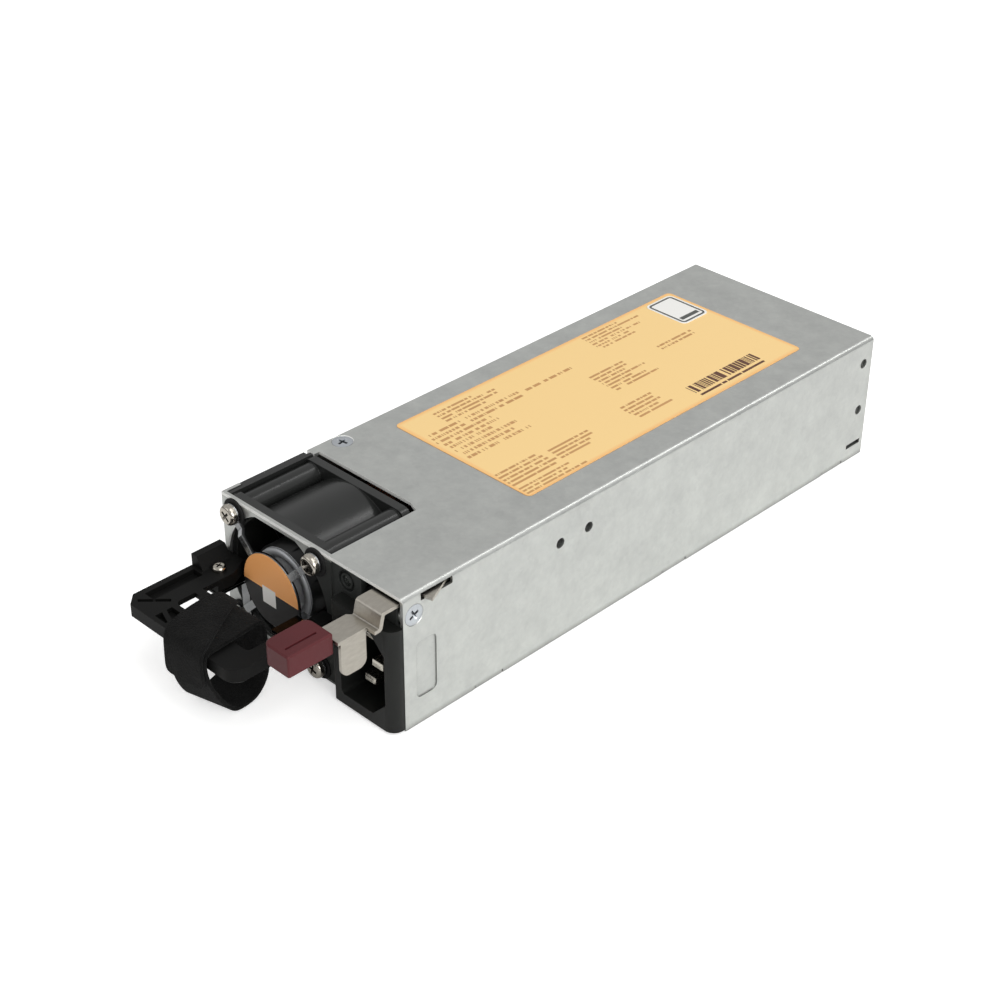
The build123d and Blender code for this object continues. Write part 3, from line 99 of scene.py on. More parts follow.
floor_paint = bpy.data.materials.new("white_floor_paint")
floor_paint.use_nodes = True
tree = floor_paint.node_tree
tree.nodes.clear()
path = add_node(tree, "ShaderNodeLightPath")
matt = add_node(tree, "ShaderNodeBsdfDiffuse", {"Color": linear("#F6F6F5")})
lift = add_node(tree, "ShaderNodeEmission", {"Color": (1, 1, 1, 1), "Strength": 0.50})
lifted = add_node(tree, "ShaderNodeAddShader", {0: matt.outputs[0], 1: lift.outputs[0]})
shown = add_node(tree, "ShaderNodeMixShader",
                 {0: path.outputs["Is Camera Ray"], 1: matt.outputs[0], 2: lifted.outputs[0]})
add_node(tree, "ShaderNodeOutputMaterial", {"Surface": shown.outputs[0]})
floor_size, floor_gap = 1.4, 0.2 * MM
deselect()
bpy.ops.mesh.primitive_plane_add(size=floor_size, location=(0, 0, -floor_gap))
floor = bpy.context.object
floor.name = "studio_floor"
floor.data.materials.append(floor_paint)

# Each lamp has its place and size in metres and its power in watts, and faces the middle of the part.
aimed_at = Vector((0, 0, 0.02))
for name, place, size, power in (
    ("key_lamp", (2.20, -0.50, 1.10), (1.6, 1.6), 34.0),
    ("top_lamp", (1.00, 0.20, 2.40), (1.8, 1.8), 15.0),
    ("front_lamp", (-1.10, -2.10, 1.50), (1.4, 1.4), 4.0),
    ("edge_lamp", (0.19, 0.585, 0.70), (0.10, 0.46), 0.8),
):
    lamp = bpy.data.lights.new(name, "AREA")
    lamp.shape = "RECTANGLE"
    lamp.size, lamp.size_y = size
    lamp.energy = power
    holder = bpy.data.objects.new(name, lamp)
    holder.location = place
    holder.rotation_euler = (aimed_at - Vector(place)).to_track_quat("-Z", "Y").to_euler()
    bpy.context.scene.collection.objects.link(holder)

# The camera was solved from the straight edges in the photograph.
camera = bpy.data.cameras.new("photo_camera")
camera.lens = 70.496
camera.sensor_width = 36.0
camera.clip_start = 0.01
photo_camera = bpy.data.objects.new("photo_camera", camera)
photo_camera.location = (0.316679, -0.350375, 0.311615)
photo_camera.rotation_euler = [math.radians(a) for a in (57.384, -0.3437, 44.6701)]
bpy.context.scene.collection.objects.link(photo_camera)
bpy.context.scene.camera = photo_camera
bpy.context.scene.view_settings.view_transform = "Standard"


# The case: chassis, cover, rear panel and latch bracket, folded from 1 mm galvanised sheet.
# Skin-passed zinc is pale grey and matt, with fine flecks and a faint grain along the rolling direction.
# Painted shade darkens its holes and seams, over a reach of about 2 mm.
sharp_angle = math.radians(35)


def new_material(name):
    """A material with only a Principled shader, its node tree and that shader."""
    material = bpy.data.materials.new(name)
    material.use_nodes = True
    material.node_tree.nodes.clear()
    shader = add_node(material.node_tree, "ShaderNodeBsdfPrincipled")
    add_node(material.node_tree, "ShaderNodeOutputMaterial", {"Surface": shader.outputs[0]})
    return material, material.node_tree, shader


def finish_node(material, *names, edge=0.12, smooth=True):
    """Gives CAD nodes their material, and breaks their edges by a width in mm as the real ones are."""
    for name in names:
        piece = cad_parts[name]
        for place in piece.material_slots:
            place.material = material
        weld = piece.modifiers.new("weld", "WELD")
        weld.merge_threshold = 0.001 * MM
        if edge:
            flat = piece.modifiers.new("flat", "DECIMATE")
            flat.decimate_type = "DISSOLVE"
            flat.angle_limit = math.radians(0.5)
            broken = piece.modifiers.new("edge", "BEVEL")
            broken.width = edge * MM
            broken.segments = 2
            broken.limit_method = "ANGLE"
            broken.angle_limit = sharp_angle
            broken.use_clamp_overlap = True
            flatter = piece.modifiers.new("flatter", "WEIGHTED_NORMAL")
            flatter.mode = "FACE_AREA"
            flatter.weight = 90
        for face in piece.data.polygons:
            face.use_smooth = smooth


def place_of(tree):
    """The socket with the place on the object, in metres from the part's origin."""
    return add_node(tree, "ShaderNodeTexCoord").outputs["Object"]


# Zinc flecks are about 1 mm across, the clouding about 6 mm, and the rolling grain 0.5 mm by 8 mm.
galvanised, tree, shader = new_material("galvanised_steel_sheet")
spot = place_of(tree)
flecks = add_node(tree, "ShaderNodeTexVoronoi", {"Vector": spot, "Scale": 900.0})
cloud = add_node(tree, "ShaderNodeTexNoise", {"Vector": spot, "Scale": 160.0, "Detail": 6.0, "Roughness": 0.62})
rolled = add_node(tree, "ShaderNodeMapping", {"Vector": spot, "Scale": (1.0, 0.06, 1.0)})
grain = add_node(tree, "ShaderNodeTexNoise", {"Vector": rolled.outputs[0], "Scale": 1500.0, "Detail": 3.0})
fleck_tone = add_node(tree, "ShaderNodeMapRange", {"Value": flecks.outputs["Color"], "To Min": -0.5, "To Max": 0.5})
mix = add_node(tree, "ShaderNodeMath", {0: fleck_tone.outputs[0], 1: 0.16, 2: cloud.outputs["Fac"]},
               operation="MULTIPLY_ADD")
tone = add_node(tree, "ShaderNodeValToRGB", {"Fac": mix.outputs[0]})
tone.color_ramp.elements[0].position, tone.color_ramp.elements[0].color = 0.28, linear("#C3C5C2")
tone.color_ramp.elements[1].position, tone.color_ramp.elements[1].color = 0.76, linear("#D4D6D2")
rough = add_node(tree, "ShaderNodeMapRange", {"Value": cloud.outputs["Fac"], "To Min": 0.28, "To Max": 0.42})
relief = add_node(tree, "ShaderNodeMath", {0: grain.outputs["Fac"], 1: 0.5, 2: flecks.outputs["Distance"]},
                  operation="MULTIPLY_ADD")
bump = add_node(tree, "ShaderNodeBump", {"Height": relief.outputs[0], "Strength": 0.08, "Distance": 0.0002})
# Painted shade: the colour darkens where other surfaces lie within 2.2 mm.
recess = add_node(tree, "ShaderNodeAmbientOcclusion", {"Color": tone.outputs[0], "Distance": 2.2 * MM}, samples=6)

# The cover's front-facing faces near its top are painted near white and hardly metallic, a painted highlight along
# its cut edges.
cover_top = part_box("cover")[1][2]
facing = add_node(tree, "ShaderNodeSeparateXYZ", {0: add_node(tree, "ShaderNodeNewGeometry").outputs["Normal"]})
height = add_node(tree, "ShaderNodeSeparateXYZ", {0: spot})
forward = add_node(tree, "ShaderNodeMath", {0: facing.outputs["Y"], 1: -0.35}, operation="LESS_THAN")
at_top = add_node(tree, "ShaderNodeMath", {0: height.outputs["Z"], 1: cover_top - 0.9 * MM}, operation="GREATER_THAN")
painted_edge_highlight = add_node(tree, "ShaderNodeMath", {0: forward.outputs[0], 1: at_top.outputs[0]}, operation="MULTIPLY")
# Painted highlight: near white on the masked edge faces.
colour = add_node(tree, "ShaderNodeMix",
                  {0: painted_edge_highlight.outputs[0], 6: recess.outputs["Color"], 7: linear("#F4F4F0")}, data_type="RGBA")
metal = add_node(tree, "ShaderNodeMapRange", {"Value": painted_edge_highlight.outputs[0], "To Min": 0.85, "To Max": 0.1})
tree.links.new(colour.outputs[2], shader.inputs["Base Color"])
tree.links.new(rough.outputs[0], shader.inputs["Roughness"])
tree.links.new(bump.outputs[0], shader.inputs["Normal"])
tree.links.new(metal.outputs[0], shader.inputs["Metallic"])
finish_node(galvanised, "chassis", "cover", "rear_panel", edge=0.12)
finish_node(galvanised, "latch_bracket", edge=0, smooth=False)


# The bezel, with its lamp: an injection-moulded panel in dark slate ABS and a smoked clear lens.
# The mould's fine spark texture makes the panel satin, and the lens is smooth and glossy.
def moulded_plastic(name, colour, shine, grain_mm, roughness, relief_strength=0.12):
    """A moulded plastic: its colour, the lighter tone of its high spots, its grain size and its gloss."""
    material, tree, shader = new_material(name)
    spot = place_of(tree)
    texture = add_node(tree, "ShaderNodeTexNoise",
                       {"Vector": spot, "Scale": 1.0 / (grain_mm * MM), "Detail": 4.0, "Roughness": 0.6})
    flow = add_node(tree, "ShaderNodeTexNoise", {"Vector": spot, "Scale": 70.0, "Detail": 3.0})
    tone = add_node(tree, "ShaderNodeMix",
                    {0: flow.outputs["Fac"], 6: linear(colour), 7: linear(shine)}, data_type="RGBA")
    rough = add_node(tree, "ShaderNodeMapRange",
                     {"Value": flow.outputs["Fac"], "To Min": roughness - 0.05, "To Max": roughness + 0.06})
    bump = add_node(tree, "ShaderNodeBump", {"Height": texture.outputs["Fac"], "Strength": relief_strength,
                                             "Distance": 0.00015})
    tree.links.new(tone.outputs[2], shader.inputs["Base Color"])
    tree.links.new(rough.outputs[0], shader.inputs["Roughness"])
    tree.links.new(bump.outputs[0], shader.inputs["Normal"])
    shader.inputs["Specular IOR Level"].default_value = 0.25
    return material, shader


slate_abs, _ = moulded_plastic("slate_abs_moulding", "#252726", "#333533", 0.25, 0.48)
finish_node(slate_abs, "bezel", edge=0.15)
smoked_lens, shader = moulded_plastic("smoked_lamp_lens", "#1E211F", "#2C302C", 2.0, 0.16, 0.02)
shader.inputs["Coat Weight"].default_value = 0.4
finish_node(smoked_lens, "led_lens", edge=0.05)

# A thin lip of the panel laps over the steel flange, and is cut round the fan opening and the rubber bosses.
lip_thickness, boss_r, boss_cut_r, opening_r = 0.3, 3.9, 4.0, 19.85
panel_low, panel_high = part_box("bezel")
hub_low, hub_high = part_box("hub_ring")
boss_low, boss_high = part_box("fan_grommets")
boss_x = boss_high[0] - boss_r * MM
lip_low = (boss_x, panel_low[1] - lip_thickness * MM, panel_low[2])
lip_high = (panel_low[0], panel_low[1], panel_high[2] - 0.6 * MM)
deselect()
bpy.ops.mesh.primitive_cube_add(size=1.0, location=[(a + b) / 2 for a, b in zip(lip_low, lip_high)])
lip = bpy.context.object
lip.name = "bezel_side_lip"
lip.scale = [b - a for a, b in zip(lip_low, lip_high)]
bpy.ops.object.transform_apply(location=True, scale=True)
rounds = [((hub_low[0] + hub_high[0]) / 2, (hub_low[2] + hub_high[2]) / 2, opening_r)]
rounds += [(boss_x, z, boss_cut_r) for z in (boss_low[2] + boss_r * MM, boss_high[2] - boss_r * MM)]
for x, z, radius in rounds:
    deselect()
    bpy.ops.mesh.primitive_cylinder_add(vertices=96, radius=radius * MM, depth=4 * MM,
                                        location=(x, lip_low[1], z), rotation=(math.pi / 2, 0, 0))
    round_cut = bpy.context.object
    bpy.context.view_layer.objects.active = lip
    cut = lip.modifiers.new("cut", "BOOLEAN")
    cut.operation, cut.object, cut.solver = "DIFFERENCE", round_cut, "EXACT"
    bpy.ops.object.modifier_apply(modifier="cut")
    bpy.data.objects.remove(round_cut)
lip.data.materials.append(slate_abs)
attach(lip, "case")


# The mains inlet: a glass-filled nylon moulding with three tin-plated brass pins pressed into it.
# Nylon is near black with a soft sheen, and tin is bright, slightly warm and finely scratched.
inlet_nylon, _ = moulded_plastic("glass_filled_nylon", "#151615", "#1F201E", 0.3, 0.42)
finish_node(inlet_nylon, "inlet_body", edge=0.25)


def plated_metal(name, colour, deep, roughness, scratch_mm, stretch=(1.0, 1.0, 1.0), relief_strength=0.02,
                 shade_mm=1.2):
    """A bright metal: its colour, its dull spots' tone, its gloss, its marks and how far painted shade in its
    recesses reaches.
    """
    material, tree, shader = new_material(name)
    spot = place_of(tree)
    turned = add_node(tree, "ShaderNodeMapping", {"Vector": spot, "Scale": stretch})
    marks = add_node(tree, "ShaderNodeTexNoise", {"Vector": turned.outputs[0], "Scale": 1.0 / (scratch_mm * MM),
                                                  "Detail": 4.0, "Roughness": 0.65})
    tone = add_node(tree, "ShaderNodeMix",
                    {0: marks.outputs["Fac"], 6: linear(deep), 7: linear(colour)}, data_type="RGBA")
    rough = add_node(tree, "ShaderNodeMapRange",
                     {"Value": marks.outputs["Fac"], "To Min": roughness + 0.08, "To Max": roughness - 0.06})
    bump = add_node(tree, "ShaderNodeBump", {"Height": marks.outputs["Fac"], "Strength": relief_strength,
                                             "Distance": 0.0001})
    # Painted shade: the colour darkens where other surfaces lie within shade_mm.
    recess = add_node(tree, "ShaderNodeAmbientOcclusion", {"Color": tone.outputs[2], "Distance": shade_mm * MM},
                      samples=6)
    tree.links.new(recess.outputs["Color"], shader.inputs["Base Color"])
    tree.links.new(rough.outputs[0], shader.inputs["Roughness"])
    tree.links.new(bump.outputs[0], shader.inputs["Normal"])
    shader.inputs["Metallic"].default_value = 1.0
    return material


tinned_brass = plated_metal("tin_plated_brass", "#DAD6CC", "#B3ADA0", 0.26, 0.3, (1.0, 0.15, 1.0))
finish_node(tinned_brass, "inlet_pins", edge=0.08)


# The fan: a frame and rotor moulded in black PBT, on a steel shaft, with the stator's laminations and coils.
# PBT is a glossy near black on the barrel, while the laminations are dark, and enamelled wire is copper red.
fan_pbt, shader = moulded_plastic("black_pbt_moulding", "#1B1C1B", "#282928", 0.5, 0.24, 0.04)
shader.inputs["Specular IOR Level"].default_value = 0.5
finish_node(fan_pbt, "fan_frame", edge=0.2)
bright_steel = plated_metal("turned_bright_steel", "#D5D6D6", "#AEB0B1", 0.24, 0.25)
finish_node(bright_steel, "fan_shaft", "rotor_yoke", edge=0.05)

# The hub's face carries a satin silver foil, out to the rim of the pressed ring.
foiled_pbt, shader = moulded_plastic("black_pbt_with_silver_foil", "#111212", "#1A1B1B", 0.5, 0.30, 0.03)
tree = foiled_pbt.node_tree
low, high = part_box("hub_ring")
shaft = ((low[0] + high[0]) / 2, 0, (low[2] + high[2]) / 2)
foil_r = (high[0] - low[0]) / 2 + 0.1 * MM
place = add_node(tree, "ShaderNodeSeparateXYZ", {0: place_of(tree)})
flat = add_node(tree, "ShaderNodeCombineXYZ", {"X": place.outputs["X"], "Z": place.outputs["Z"]})
from_shaft = add_node(tree, "ShaderNodeVectorMath", {0: flat.outputs[0], 1: shaft}, operation="DISTANCE")
inside = add_node(tree, "ShaderNodeMath", {0: from_shaft.outputs["Value"], 1: foil_r}, operation="LESS_THAN")
in_front = add_node(tree, "ShaderNodeMath", {0: place.outputs["Y"], 1: high[1] + 0.2 * MM}, operation="LESS_THAN")
foil = add_node(tree, "ShaderNodeMath", {0: inside.outputs[0], 1: in_front.outputs[0]}, operation="MULTIPLY")
black = shader.inputs["Base Color"].links[0].from_socket
both = add_node(tree, "ShaderNodeMix", {0: foil.outputs[0], 6: black, 7: linear("#CDCFD2")}, data_type="RGBA")
metal = add_node(tree, "ShaderNodeMath", {0: foil.outputs[0], 1: 0.25}, operation="MULTIPLY")
tree.links.new(both.outputs[2], shader.inputs["Base Color"])
tree.links.new(metal.outputs[0], shader.inputs["Metallic"])
finish_node(foiled_pbt, "fan_rotor", "hub_ring", edge=0)
laminations = plated_metal("oiled_core_steel", "#55575A", "#3A3C3F", 0.42, 0.35, (0.2, 1.0, 0.2))
finish_node(laminations, "fan_stator", edge=0)


def wound_wire(name, colour, gap_colour, wire_mm, axis):
    """Enamelled wire in even turns: bands across one axis, as far apart as the wire is thick."""
    bands = 0.314 / (wire_mm * MM)  # the wave texture repeats every 0.314 units at scale 1
    material, tree, shader = new_material(name)
    spot = place_of(tree)
    turns = add_node(tree, "ShaderNodeTexWave", {"Vector": spot, "Scale": bands, "Distortion": 0.4, "Detail": 1.0},
                     bands_direction=axis)
    tone = add_node(tree, "ShaderNodeMix",
                    {0: turns.outputs["Fac"], 6: linear(gap_colour), 7: linear(colour)}, data_type="RGBA")
    bump = add_node(tree, "ShaderNodeBump", {"Height": turns.outputs["Fac"], "Strength": 0.6, "Distance": 0.0003})
    tree.links.new(tone.outputs[2], shader.inputs["Base Color"])
    tree.links.new(bump.outputs[0], shader.inputs["Normal"])
    shader.inputs["Metallic"].default_value = 0.7
    shader.inputs["Roughness"].default_value = 0.34
    return material


fan_wire = wound_wire("fine_copper_wire", "#B8643A", "#5E2C18", 0.3, "Y")
finish_node(fan_wire, "fan_coils", edge=0)
lead_sleeve, _ = moulded_plastic("black_lead_insulation", "#1A1A1B", "#262627", 0.8, 0.40, 0.05)
finish_node(lead_sleeve, "fan_lead", "ac_leads", edge=0)


# The guard and its grommets: legs, feet and centre plate stamped from one bright steel sheet, on black rubber.
# The steel is a little dull from tumbling, while the rubber bosses are matt and very dark.
guard_steel = plated_metal("tumbled_steel_stamping", "#C0C2C3", "#97999B", 0.24, 0.8, relief_strength=0.0,
                           shade_mm=7.0)

# The tongues that carry the handle reach forward from the plate, and are coloured near black.
# Painted shade darkens the steel wherever other parts lie within 7 mm of it.
tree = guard_steel.node_tree
shader = tree.nodes["Principled BSDF"]
plate_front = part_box("guard_label")[0][1] - 0.3 * MM
place = add_node(tree, "ShaderNodeSeparateXYZ", {0: place_of(tree)})
tongue = add_node(tree, "ShaderNodeMath", {0: place.outputs["Y"], 1: plate_front}, operation="LESS_THAN")
steel = shader.inputs["Base Color"].links[0].from_socket
both = add_node(tree, "ShaderNodeMix", {0: tongue.outputs[0], 6: steel, 7: linear("#1C1C1C")}, data_type="RGBA")
tree.links.new(both.outputs[2], shader.inputs["Base Color"])
finish_node(guard_steel, "fan_guard", edge=0.1)
boss_rubber, _ = moulded_plastic("black_rubber_boss", "#171717", "#222222", 0.2, 0.72, 0.2)
finish_node(boss_rubber, "fan_grommets", edge=0.1)


# The disc label: a die-cut sticker on the guard's plate, orange above its middle line and dark grey below.
# It is screen printed on satin film, with a plain white square where the two colours meet.
disc_film, tree, shader = new_material("printed_disc_label")
axes = add_node(tree, "ShaderNodeSeparateXYZ", {0: place_of(tree)})
low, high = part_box("guard_label")
disc_x, disc_z = (low[0] + high[0]) / 2, (low[2] + high[2]) / 2
split_z, square_x, square_z, square_half = disc_z - 0.3 * MM, disc_x - 0.8 * MM, disc_z - 2.0 * MM, 2.6 * MM
upper = add_node(tree, "ShaderNodeMath", {0: axes.outputs["Z"], 1: split_z}, operation="GREATER_THAN")
inked = add_node(tree, "ShaderNodeMix", {0: upper.outputs[0], 6: linear("#232222"), 7: linear("#FFB46F")},
                 data_type="RGBA")
across = add_node(tree, "ShaderNodeMath", {0: axes.outputs["X"], 1: square_x, 2: square_half}, operation="COMPARE")
along = add_node(tree, "ShaderNodeMath", {0: axes.outputs["Z"], 1: square_z, 2: square_half}, operation="COMPARE")
square = add_node(tree, "ShaderNodeMath", {0: across.outputs[0], 1: along.outputs[0]}, operation="MULTIPLY")
shown = add_node(tree, "ShaderNodeMix", {0: square.outputs[0], 6: inked.outputs[2], 7: linear("#F1EFEA")},
                 data_type="RGBA")
tree.links.new(shown.outputs[2], shader.inputs["Base Color"])
shader.inputs["Roughness"].default_value = 0.44
shader.inputs["Specular IOR Level"].default_value = 0.22
finish_node(disc_film, "guard_label", edge=0, smooth=False)


# The pan head screws: four hold the guard and the fan, and two smaller ones hold the handle on the guard.
# They are cold-headed from steel wire with a cross recess, and nickel plated, so they are bright and warm.
def select_underside(piece):
    """In edit mode, selects only the faces that point down."""
    bpy.ops.mesh.select_mode(type="FACE")
    bpy.ops.mesh.select_all(action="DESELECT")
    mesh = bmesh.from_edit_mesh(piece.data)
    for face in mesh.faces:
        face.select = face.normal.z < -0.9
    bmesh.update_edit_mesh(piece.data)


def cross_recess_screw(name, head_r, head_h, shank_r, shank_length, countersunk=False):
    """A screw in mm, standing on Z: a pan head over Z = 0, or a countersunk one under it, with its recess."""
    deselect()
    base = -head_h if countersunk else 0.0
    top = base + head_h
    shank_below = shank_length - head_h if countersunk else shank_length
    recess_depth = 0.62 * head_h if countersunk else 0.75 * head_h
    over = 0.2  # how far the cutting arms stand over the head
    arm_size = (1.22 * head_r, 0.27 * head_r, recess_depth + over)
    shank_taper, arm_taper = 0.82, (0.42, 0.55, 1)
    broken_edge, dome = 0.08, 0.62 * head_h
    bpy.ops.mesh.primitive_cylinder_add(vertices=40, radius=head_r * MM, depth=head_h * MM,
                                        location=(0, 0, (base + head_h / 2) * MM))
    screw = bpy.context.object
    bpy.ops.object.transform_apply(location=True)
    screw.name = name
    bpy.ops.object.mode_set(mode="EDIT")
    select_underside(screw)
    if countersunk:
        bpy.ops.transform.resize(value=(shank_r / head_r, shank_r / head_r, 1))
    else:
        bpy.ops.mesh.inset(thickness=(head_r - shank_r) * MM)
    bpy.ops.mesh.extrude_region_move(TRANSFORM_OT_translate={"value": (0, 0, -shank_below * MM)})
    bpy.ops.transform.resize(value=(shank_taper, shank_taper, 1))
    bpy.ops.mesh.select_all(action="DESELECT")
    bpy.ops.mesh.select_mode(type="EDGE")
    mesh = bmesh.from_edit_mesh(screw.data)
    for edge in mesh.edges:
        edge.select = all(v.co.z > (top - 0.01) * MM for v in edge.verts)
    bmesh.update_edit_mesh(screw.data)
    if countersunk:
        bpy.ops.mesh.bevel(offset=broken_edge * MM, segments=2, affect="EDGES")
    else:
        bpy.ops.mesh.bevel(offset=dome * MM, segments=6, profile=0.55, affect="EDGES")
    bpy.ops.object.mode_set(mode="OBJECT")
    arms = []
    for turn in (0.0, math.pi / 2):
        deselect()
        bpy.ops.mesh.primitive_cube_add(size=1.0, location=(0, 0, (top + over / 2 - recess_depth / 2) * MM))
        arm = bpy.context.object
        arm.scale = [size * MM for size in arm_size]
        bpy.ops.object.transform_apply(location=True, scale=True)
        bpy.ops.object.mode_set(mode="EDIT")
        select_underside(arm)
        bpy.ops.transform.resize(value=arm_taper)
        bpy.ops.object.mode_set(mode="OBJECT")
        arm.data.transform(Matrix.Rotation(turn, 4, "Z"))
        arms.append(arm)
    for arm in arms:
        cut = screw.modifiers.new("recess", "BOOLEAN")
        cut.operation, cut.solver, cut.object = "DIFFERENCE", "EXACT", arm
        deselect()
        screw.select_set(True)
        bpy.context.view_layer.objects.active = screw
        bpy.ops.object.modifier_apply(modifier=cut.name)
        bpy.data.objects.remove(arm)
    deselect()
    screw.select_set(True)
    bpy.context.view_layer.objects.active = screw
    bpy.ops.object.shade_smooth_by_angle(angle=sharp_angle)
    return screw


def set_screws(screw, seats, material, slot, *replaced):
    """Copies one screw to each seat, a place in metres, its head's direction and its turn, as one piece."""
    copies = []
    for place, facing, turn in seats:
        copy = screw.copy()
        copy.data = screw.data.copy()
        bpy.context.scene.collection.objects.link(copy)
        aim = Vector(facing).to_track_quat("Z", "Y").to_matrix().to_4x4()
        copy.data.transform(Matrix.Translation(place) @ aim @ Matrix.Rotation(math.radians(turn), 4, "Z"))
        copies.append(copy)
    name = screw.name
    bpy.data.objects.remove(screw)
    deselect()
    for copy in copies:
        copy.select_set(True)
    bpy.context.view_layer.objects.active = copies[0]
    if len(copies) > 1:
        bpy.ops.object.join()
    piece = bpy.context.object
    piece.name = name
    piece.data.materials.clear()
    piece.data.materials.append(material)
    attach(piece, "case")
    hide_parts(*replaced)


nickel = plated_metal("nickel_plated_steel", "#DCD6CB", "#A49E94", 0.17, 0.4)
low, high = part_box("fan_screws")
head_r, head_h = 2.9, 1.9
head_y = low[1] + head_h * MM
screw_rows = (low[2] + head_r * MM, high[2] - head_r * MM)
screw_columns = (low[0] + head_r * MM, high[0] - head_r * MM)
pan_screw = cross_recess_screw("guard_pan_screws", head_r, head_h, 1.6, (high[1] - head_y) / MM)
turns = iter((12, 50, 74, 31))
set_screws(pan_screw, [((x, head_y, z), (0, -1, 0), next(turns)) for x in screw_columns for z in screw_rows],
           nickel, "zinc_steel", "fan_screws")

low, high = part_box("handle_screws")
head_r, head_h = 1.9, 1.3
seat_z = high[2] - head_h * MM
handle_screw = cross_recess_screw("handle_pan_screws", head_r, head_h, 1.2, (seat_z - low[2]) / MM)
middle_y = (low[1] + high[1]) / 2
set_screws(handle_screw, [((low[0] + head_r * MM, middle_y, seat_z), (0, 0, 1), 20),
                          ((high[0] - head_r * MM, middle_y, seat_z), (0, 0, 1), 65)],
           nickel, "stainless_steel", "handle_screws")


# The cover's screws: one countersunk at the right side and one on the top, in pressed dimples.
# They are zinc plated and clear passivated, so the flat head is bluish white and satin, and its cross recess is dark
# from its depth and from painted shade.
blue_zinc = plated_metal("clear_passivated_zinc", "#DFE3E7", "#BFC4CA", 0.36, 0.5)
head_r, head_h, shank_r = 2.95, 1.5, 1.45
for node, facing, turn, length in (("side_screw", (1, 0, 0), 28, 6.4), ("top_screw", (0, 0, 1), 10, 5.4)):
    low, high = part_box(node)
    middle = [(a + b) / 2 for a, b in zip(low, high)]
    seat = [high[i] if facing[i] else middle[i] for i in range(3)]
    screw = cross_recess_screw(node + "_head", head_r, head_h, shank_r, length, countersunk=True)
    set_screws(screw, [(seat, facing, turn)], blue_zinc, "zinc_steel", node)


# The handle: one moulding in glass-filled nylon, with pockets that keep its walls even.
# It is black and nearly matt from the mould's fine texture.
handle_nylon, shader = moulded_plastic("black_handle_nylon", "#0B0B0B", "#141413", 0.3, 0.50)
shader.inputs["Specular IOR Level"].default_value = 0.13
finish_node(handle_nylon, "handle", edge=0.22)


# The strap: a band of hook-and-loop tape round the handle's bar, closed on itself, that ties the mains lead.
# The woven nylon tape is matt black, with a brushed pile outside that catches a little light.
front_corner = Vector((-34.4, -95.5, 0))  # the case's front left corner, in mm, which the rows are counted from


def tape_band(name, rows, thickness, closed):
    """A tape through rows of left and right edge points in mm, its outer side outwards."""
    deselect()
    count = len(rows)
    cuts = count if closed else count - 1
    bpy.ops.mesh.primitive_grid_add(x_subdivisions=cuts, y_subdivisions=4, size=1.0)
    tape = bpy.context.object
    tape.name = name
    for vertex in tape.data.vertices:
        index = round((vertex.co.x + 0.5) * cuts) % count
        share = vertex.co.y + 0.5
        left_edge, right_edge = Vector(rows[index][0]), Vector(rows[index][1])
        vertex.co = (left_edge.lerp(right_edge, share) + front_corner) * MM
    bpy.ops.object.mode_set(mode="EDIT")
    bpy.ops.mesh.select_all(action="SELECT")
    bpy.ops.mesh.remove_doubles(threshold=0.01 * MM)
    bpy.ops.mesh.normals_make_consistent(inside=False)
    bpy.ops.object.mode_set(mode="OBJECT")
    smooth = tape.modifiers.new("smooth", "SUBSURF")
    smooth.levels = smooth.render_levels = 3
    wall = tape.modifiers.new("wall", "SOLIDIFY")
    wall.thickness, wall.offset, wall.use_even_offset = thickness * MM, -1.0, True
    edges = tape.modifiers.new("edges", "BEVEL")
    edges.width, edges.segments, edges.limit_method, edges.angle_limit = 0.3 * MM, 2, "ANGLE", math.radians(50)
    for modifier in ("smooth", "wall", "edges"):
        bpy.ops.object.modifier_apply(modifier=modifier)
    bpy.ops.object.shade_smooth_by_angle(angle=math.radians(50))
    return tape


# Each row gives the tape's left and right edge, from the top rear forwards, down the front and up behind.
loop_rows = [
    ((16.5, -15.2, 23.3), (32.6, -14.6, 23.3)), ((16.6, -19.5, 23.7), (33.6, -19.5, 23.7)),
    ((17.2, -25.5, 23.7), (34.1, -25.5, 23.7)), ((18.6, -31.0, 23.7), (34.5, -31.5, 23.7)),
    ((19.8, -34.4, 23.4), (34.7, -34.6, 23.4)), ((20.5, -35.1, 20.0), (34.7, -34.9, 20.2)),
    ((20.7, -35.2, 15.0), (34.5, -34.3, 15.6)), ((20.5, -34.3, 9.6), (34.2, -32.2, 10.2)),
    ((20.2, -32.4, 4.8), (33.9, -29.2, 4.8)), ((19.9, -29.8, 1.0), (33.7, -26.2, 1.0)),
    ((19.6, -27.2, 0.35), (33.6, -24.2, 0.35)), ((19.2, -22.0, 0.35), (33.3, -19.4, 0.35)),
    ((18.6, -18.0, 1.6), (33.0, -16.4, 1.8)), ((17.8, -15.2, 5.2), (32.9, -13.6, 5.4)),
    ((17.1, -13.6, 11.0), (32.8, -12.9, 11.0)), ((16.7, -13.5, 17.0), (32.7, -13.1, 17.0)),
    ((16.5, -13.9, 21.6), (32.6, -13.4, 21.6)),
]
closing_rows = [
    ((20.6, -36.3, 12.4), (34.4, -35.2, 13.0)), ((20.6, -36.4, 16.0), (34.6, -35.7, 16.6)),
    ((20.5, -36.2, 20.4), (34.8, -36.1, 20.6)), ((19.6, -35.4, 24.0), (34.7, -35.6, 24.3)),
    ((18.4, -31.4, 24.9), (33.3, -31.8, 24.9)), ((17.1, -26.0, 24.9), (29.6, -26.0, 24.9)),
    ((16.5, -20.5, 24.8), (26.0, -20.5, 24.8)), ((16.3, -16.4, 24.5), (23.6, -15.6, 24.4)),
    ((16.3, -14.0, 23.4), (22.4, -13.6, 23.2)),
]
loop_tape = tape_band("strap_loop", loop_rows, 1.1, closed=True)
closing_tape = tape_band("strap_closing_end", closing_rows, 1.0, closed=False)

